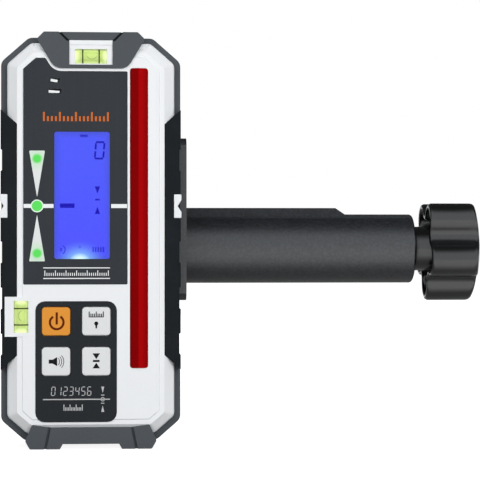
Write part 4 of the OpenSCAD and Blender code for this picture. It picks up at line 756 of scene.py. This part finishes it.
class RECEIVER_OT_clamp(bpy.types.Operator):
    """Finishes of the clamp and its knob"""

    bl_idname = "receiver.clamp"
    bl_label = "Clamp"

    def execute(self, context):
        colours, sizes = context.scene.receiver_colours, context.scene.receiver_sizes
        black = moulded("clamp_plastic", colours.arm, 0.36, 1.1, 0.12, shine=1.0, grain_glint=2.4, matt=self.rib_sides)
        for node in ("clamp_arm", "clamp_bracket", "moving_jaw", "battery_door"):
            paint(node, black)
        for node in ("clamp_bracket", "moving_jaw", "battery_door"):
            soften(node, sizes.edge)
        pad = ribbed_rubber("pad_rubber", (0.03, 0.03, 0.033))
        for node in ("fixed_jaw_pad", "moving_jaw_pad"):
            paint(node, pad)
        paint("push_bar", moulded("bar_plastic", (0.11, 0.115, 0.12), 0.4))
        self.add_knob(moulded("knob_plastic", colours.knob, 0.24, 0.5, 0.02, shine=1.0))
        return {"FINISHED"}

    def rib_sides(self, finish):
        """Above the arm's tube and clear of its flange."""
        axis_z = float(centre_mm("spindle")[2])
        tube_top, matt_from, flange_x = 13.4, 14.2, 42.6
        x, _, z = finish.place()
        return (z - axis_z).ramp(tube_top, matt_from) * x.ramp(flange_x, flange_x + 0.4)

    def add_knob(self, material):
        """Lobed knob. A profile runs from the neck's end along the hub, over the cup's floor and wall, round its lip
        and over the outside to the middle of the end, which falls off with the square of the radius. It turns once
        round the axis, and its radius dips between the lobes, as far as each point of the profile follows them. The
        outline is five round lobes joined by round hollows. Near a lobe the radius is that of the lobe's circle, and
        past the point where both circles touch, that of the hollow's circle, each as distance x cos(angle) plus or
        minus sqrt(circle radius^2 - (distance x sin(angle))^2)."""
        low, high = (np.array(corner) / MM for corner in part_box("clamp_knob"))
        axis_y, axis_z = centre_mm("spindle")[1:]
        x0, x1, radius = low[0], high[0], KNOB_R
        cup, lip = x1 - 5.4, x0 + 5.6
        profile = np.array([  # place along X, radius, share of the lobes, share of the dome
            (x0, 3.6, 0, 0), (x0, 9.4, 0, 0), (x0 + 0.2, 9.8, 0, 0), (x0 + 0.6, 10, 0, 0), (cup - 1.5, 10, 0, 0),
            (cup - 0.4, 10.4, 0, 0), (cup, 11.5, 0.1, 0), (cup, radius - 5.2, 0.9, 0.5),
            (cup - 0.6, radius - 3.7, 1, 0.5), (cup - 2, radius - 3.2, 1, 0.5),
            (lip + 1.2, radius - 2.8, 1, 0), (lip + 0.3, radius - 2.4, 1, 0),
            (lip, radius - 1.5, 1, 0), (lip + 0.35, radius - 0.55, 1, 0), (lip + 1.3, radius, 1, 0),
            (x1 - 2, radius, 1, 1), (x1 - 0.9, radius - 0.25, 1, 1), (x1 - 0.25, radius - 0.9, 0.98, 1),
            (x1, radius - 2, 0.93, 1), (x1, radius - 4.2, 0.82, 1), (x1, radius - 8.5, 0.5, 1),
            (x1, radius - 13.5, 0.2, 1), (x1, radius - 19, 0.03, 1)])
        turn = np.linspace(0, 2 * math.pi, KNOB_STEPS, endpoint=False)
        lobe_at, half = radius - LOBE_R, math.pi / LOBES
        off = np.abs((turn + math.pi / 2 + half) % (2 * half) - half)
        lobe = lobe_at * np.cos(off) + np.sqrt(np.maximum(LOBE_R ** 2 - (lobe_at * np.sin(off)) ** 2, 0))
        far = half - off
        hollow = HOLLOW_AT * np.cos(far) - np.sqrt(np.maximum(HOLLOW_R ** 2 - (HOLLOW_AT * np.sin(far)) ** 2, 0))
        touch = lobe_at + (HOLLOW_AT * np.exp(1j * half) - lobe_at) * LOBE_R / (LOBE_R + HOLLOW_R)
        dip = radius - np.where(off < np.angle(touch), lobe, hollow)
        r = profile[:, 1][:, None] - profile[:, 2][:, None] * dip[None, :]
        x = profile[:, 0][:, None] - KNOB_DOME * profile[:, 3][:, None] * (r / radius) ** 2
        points = np.stack([x, axis_y - r * np.cos(turn), axis_z + r * np.sin(turn)], -1).reshape(-1, 3)
        rows, count = len(profile), len(turn)
        i, k = np.meshgrid(np.arange(rows - 1), np.arange(count), indexing="ij")
        m = (k + 1) % count
        faces = np.stack([i * count + k, i * count + m, (i + 1) * count + m, (i + 1) * count + k], -1)
        faces = faces.reshape(-1, 4)[:, ::-1].tolist()
        start, tip = len(points), len(points) + 1
        points = np.vstack([points, [[x0, axis_y, axis_z], [x1, axis_y, axis_z]]])
        around, after = np.arange(count), (np.arange(count) + 1) % count
        top = (rows - 1) * count
        faces += np.stack([np.full(count, start), around, after], 1).tolist()
        faces += np.stack([np.full(count, tip), top + after, top + around], 1).tolist()
        knob = add_piece("lobed_knob", points, faces, material, "knob", smooth=True)
        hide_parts("clamp_knob")


class RECEIVER_OT_inside(bpy.types.Operator):
    """Finishes of screws, cells, boards and other inner pieces"""

    bl_idname = "receiver.inside"
    bl_label = "Inside"

    def execute(self, context):
        steel = metal("screw_steel", (0.55, 0.56, 0.57), 0.35)
        for node in ("housing_screws", "board_screws", "bracket_screw", "arm_screws", "jaw_screw", "spindle",
                     "knob_pin", "door_hinge_pin", "battery_contacts"):
            paint(node, steel)
        brass = metal("turned_brass", (0.75, 0.52, 0.2), 0.3)
        for node in ("clamp_insert", "spindle_nut", "thrust_washer"):
            paint(node, brass)
        laminate = moulded("board_laminate", (0.02, 0.16, 0.06), 0.35, 0.3, 0.01, 0.2)
        for node in ("main_board", "sensor_board"):
            paint(node, laminate)
        black = moulded("component_black", (0.02, 0.02, 0.022), 0.4)
        for node in ("buzzer", "key_switches", "photodiodes"):
            paint(node, black)
        paint("battery_cells", self.cell_jacket())
        return {"FINISHED"}

    def cell_jacket(self):
        """Cell jacket: a dark green foil with a narrow pale band, and bare metal at both ends."""
        low, high = (float(corner[2]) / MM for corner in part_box("battery_cells"))
        finish = Finish(bpy.data.materials.new("cell_jacket"))
        z = finish.place()[2]
        scratch = finish.noise(0.4, 4, (1, 1, 0.15))
        end = (z - low).ramp(1.6, 1.3).most((high - z).ramp(2.6, 2.3))
        base = finish.mix(abs(z - low - 36).ramp(1.2, 1.0), (0.02, 0.1, 0.085), (0.6, 0.62, 0.6))
        base = finish.mix(end, base, (0.6, 0.6, 0.58))
        return finish.surface(Base_Color=finish.mix(scratch * 0.3, base, (0.25, 0.22, 0.2)),
                              Roughness=scratch * 0.15 + 0.28, Metallic=end * 0.7 + 0.3)


class RECEIVER_OT_stage(bpy.types.Operator):
    """Floor, world, lights and camera"""

    bl_idname = "receiver.stage"
    bl_label = "Stage"

    def execute(self, context):
        scene, sizes = context.scene, context.scene.receiver_sizes
        self.add_floor(scene)
        self.light_world(scene)
        for name, place, size, power in LIGHTS:
            self.add_light(scene, name, place, size, power)
        camera = bpy.data.cameras.new("camera")
        camera.lens = sizes.lens
        camera.sensor_width = SENSOR_MM
        camera.clip_start = 0.01
        view = bpy.data.objects.new("camera", camera)
        view.location = (0, -sizes.camera_back, sizes.camera_z)
        view.rotation_euler = (math.radians(90), 0, -sizes.turn)
        scene.collection.objects.link(view)
        scene.camera = view
        scene.view_settings.view_transform = "Standard"
        return {"FINISHED"}

    def add_floor(self, scene):
        """A flat floor of one square, pale and lit so that it joins the background; reflections show it darker in the
        object's shadow."""
        half = FLOOR_HALF
        mesh = bpy.data.meshes.new("floor")
        mesh.from_pydata([(-half, -half, 0), (half, -half, 0), (half, half, 0), (-half, half, 0)], [], [(0, 1, 2, 3)])
        finish = Finish(bpy.data.materials.new("pale_floor"))
        path = finish.node("ShaderNodeLightPath").socket.node.outputs
        camera, glossy = Value(finish, path["Is Camera Ray"]), Value(finish, path["Is Glossy Ray"])
        x, y, _ = finish.place()
        lit = y.ramp(0, -80).most(finish.radius(x, y, 60, 0).ramp(300, 1200))
        glow = finish.mix(y.ramp(150, 1500), (0.9, 0.9, 0.9), (1.0, 1.0, 1.0))
        glow = finish.mix(camera.most(glossy * lit), (0.0, 0.0, 0.0), glow)
        mesh.materials.append(finish.surface(Base_Color=(0.3, 0.3, 0.3), Roughness=0.9, Specular_IOR_Level=0.0,
                                             Emission_Color=glow, Emission_Strength=1.0))
        floor = bpy.data.objects.new("floor", mesh)
        scene.collection.objects.link(floor)

    def light_world(self, scene):
        """White to the camera and through glass, a cool white in reflections of the low and front parts, dark in the
        other reflections, and a soft grey light for the rest."""
        world = bpy.data.worlds.new("studio")
        scene.world = world
        finish = Finish(world)
        path = finish.node("ShaderNodeLightPath").socket.node.outputs
        camera, glossy, through = (Value(finish, path[f"Is {ray} Ray"]) for ray in ("Camera", "Glossy", "Transmission"))
        way = finish.node("ShaderNodeSeparateXYZ", {0: finish.node("ShaderNodeTexCoord", output="Generated")})
        ahead, up = (Value(finish, way.socket.node.outputs[axis]) for axis in "YZ")
        low = up.ramp(0.3, 0.08).most(ahead.ramp(0.1, -0.25) * up.ramp(0.95, 0.7))
        dim = finish.mix(glossy, (0.4, 0.405, 0.41), (0.06, 0.06, 0.06))
        soft = finish.mix(glossy * low, dim, (0.93, 0.97, 1.0))
        light = finish.node("ShaderNodeBackground", {"Color": finish.mix(camera.most(through), soft, (1.0, 1.0, 1.0))})
        finish.node("ShaderNodeOutputWorld", {"Surface": light})

    def add_light(self, scene, name, place, size, power):
        """A soft box that faces the middle of the object."""
        light = bpy.data.lights.new(name, "AREA")
        light.shape = "SQUARE"
        light.size = size
        light.energy = power
        lamp = bpy.data.objects.new(name, light)
        lamp.location = place
        aim = Vector(LIGHT_AIM) - Vector(place)
        lamp.rotation_euler = aim.to_track_quat("-Z", "Y").to_euler()
        lamp.visible_glossy = False
        scene.collection.objects.link(lamp)


class RECEIVER_PT_panel(bpy.types.Panel):
    """Sidebar panel with every step and its settings"""

    bl_idname = "RECEIVER_PT_panel"
    bl_label = "Laser receiver"
    bl_space_type = "VIEW_3D"
    bl_region_type = "UI"
    bl_category = "Receiver"

    def draw(self, context):
        layout = self.layout
        for step in STEPS:
            layout.operator(step.bl_idname)
        for group in (context.scene.receiver_colours, context.scene.receiver_sizes):
            for name in group.__annotations__:
                layout.prop(group, name)


STEPS = (RECEIVER_OT_case, RECEIVER_OT_display, RECEIVER_OT_keys, RECEIVER_OT_detector, RECEIVER_OT_vials,
         RECEIVER_OT_panel_prints, RECEIVER_OT_keypad_prints, RECEIVER_OT_key_symbols, RECEIVER_OT_clamp,
         RECEIVER_OT_inside, RECEIVER_OT_stage)
CLASSES = (ReceiverColours, ReceiverSizes, *STEPS, RECEIVER_PT_panel)


def register():
    """Adds the classes and the settings on the scene."""
    for item in CLASSES:
        bpy.utils.register_class(item)
    bpy.types.Scene.receiver_colours = PointerProperty(type=ReceiverColours)
    bpy.types.Scene.receiver_sizes = PointerProperty(type=ReceiverSizes)


def unregister():
    """Removes the settings and the classes."""
    del bpy.types.Scene.receiver_sizes
    del bpy.types.Scene.receiver_colours
    for item in reversed(CLASSES):
        bpy.utils.unregister_class(item)


def main():
    """Runs every step."""
    register()
    for step in STEPS:
        group, name = step.bl_idname.split(".")
        getattr(getattr(bpy.ops, group), name)()


if __name__ == "__main__":
    main()
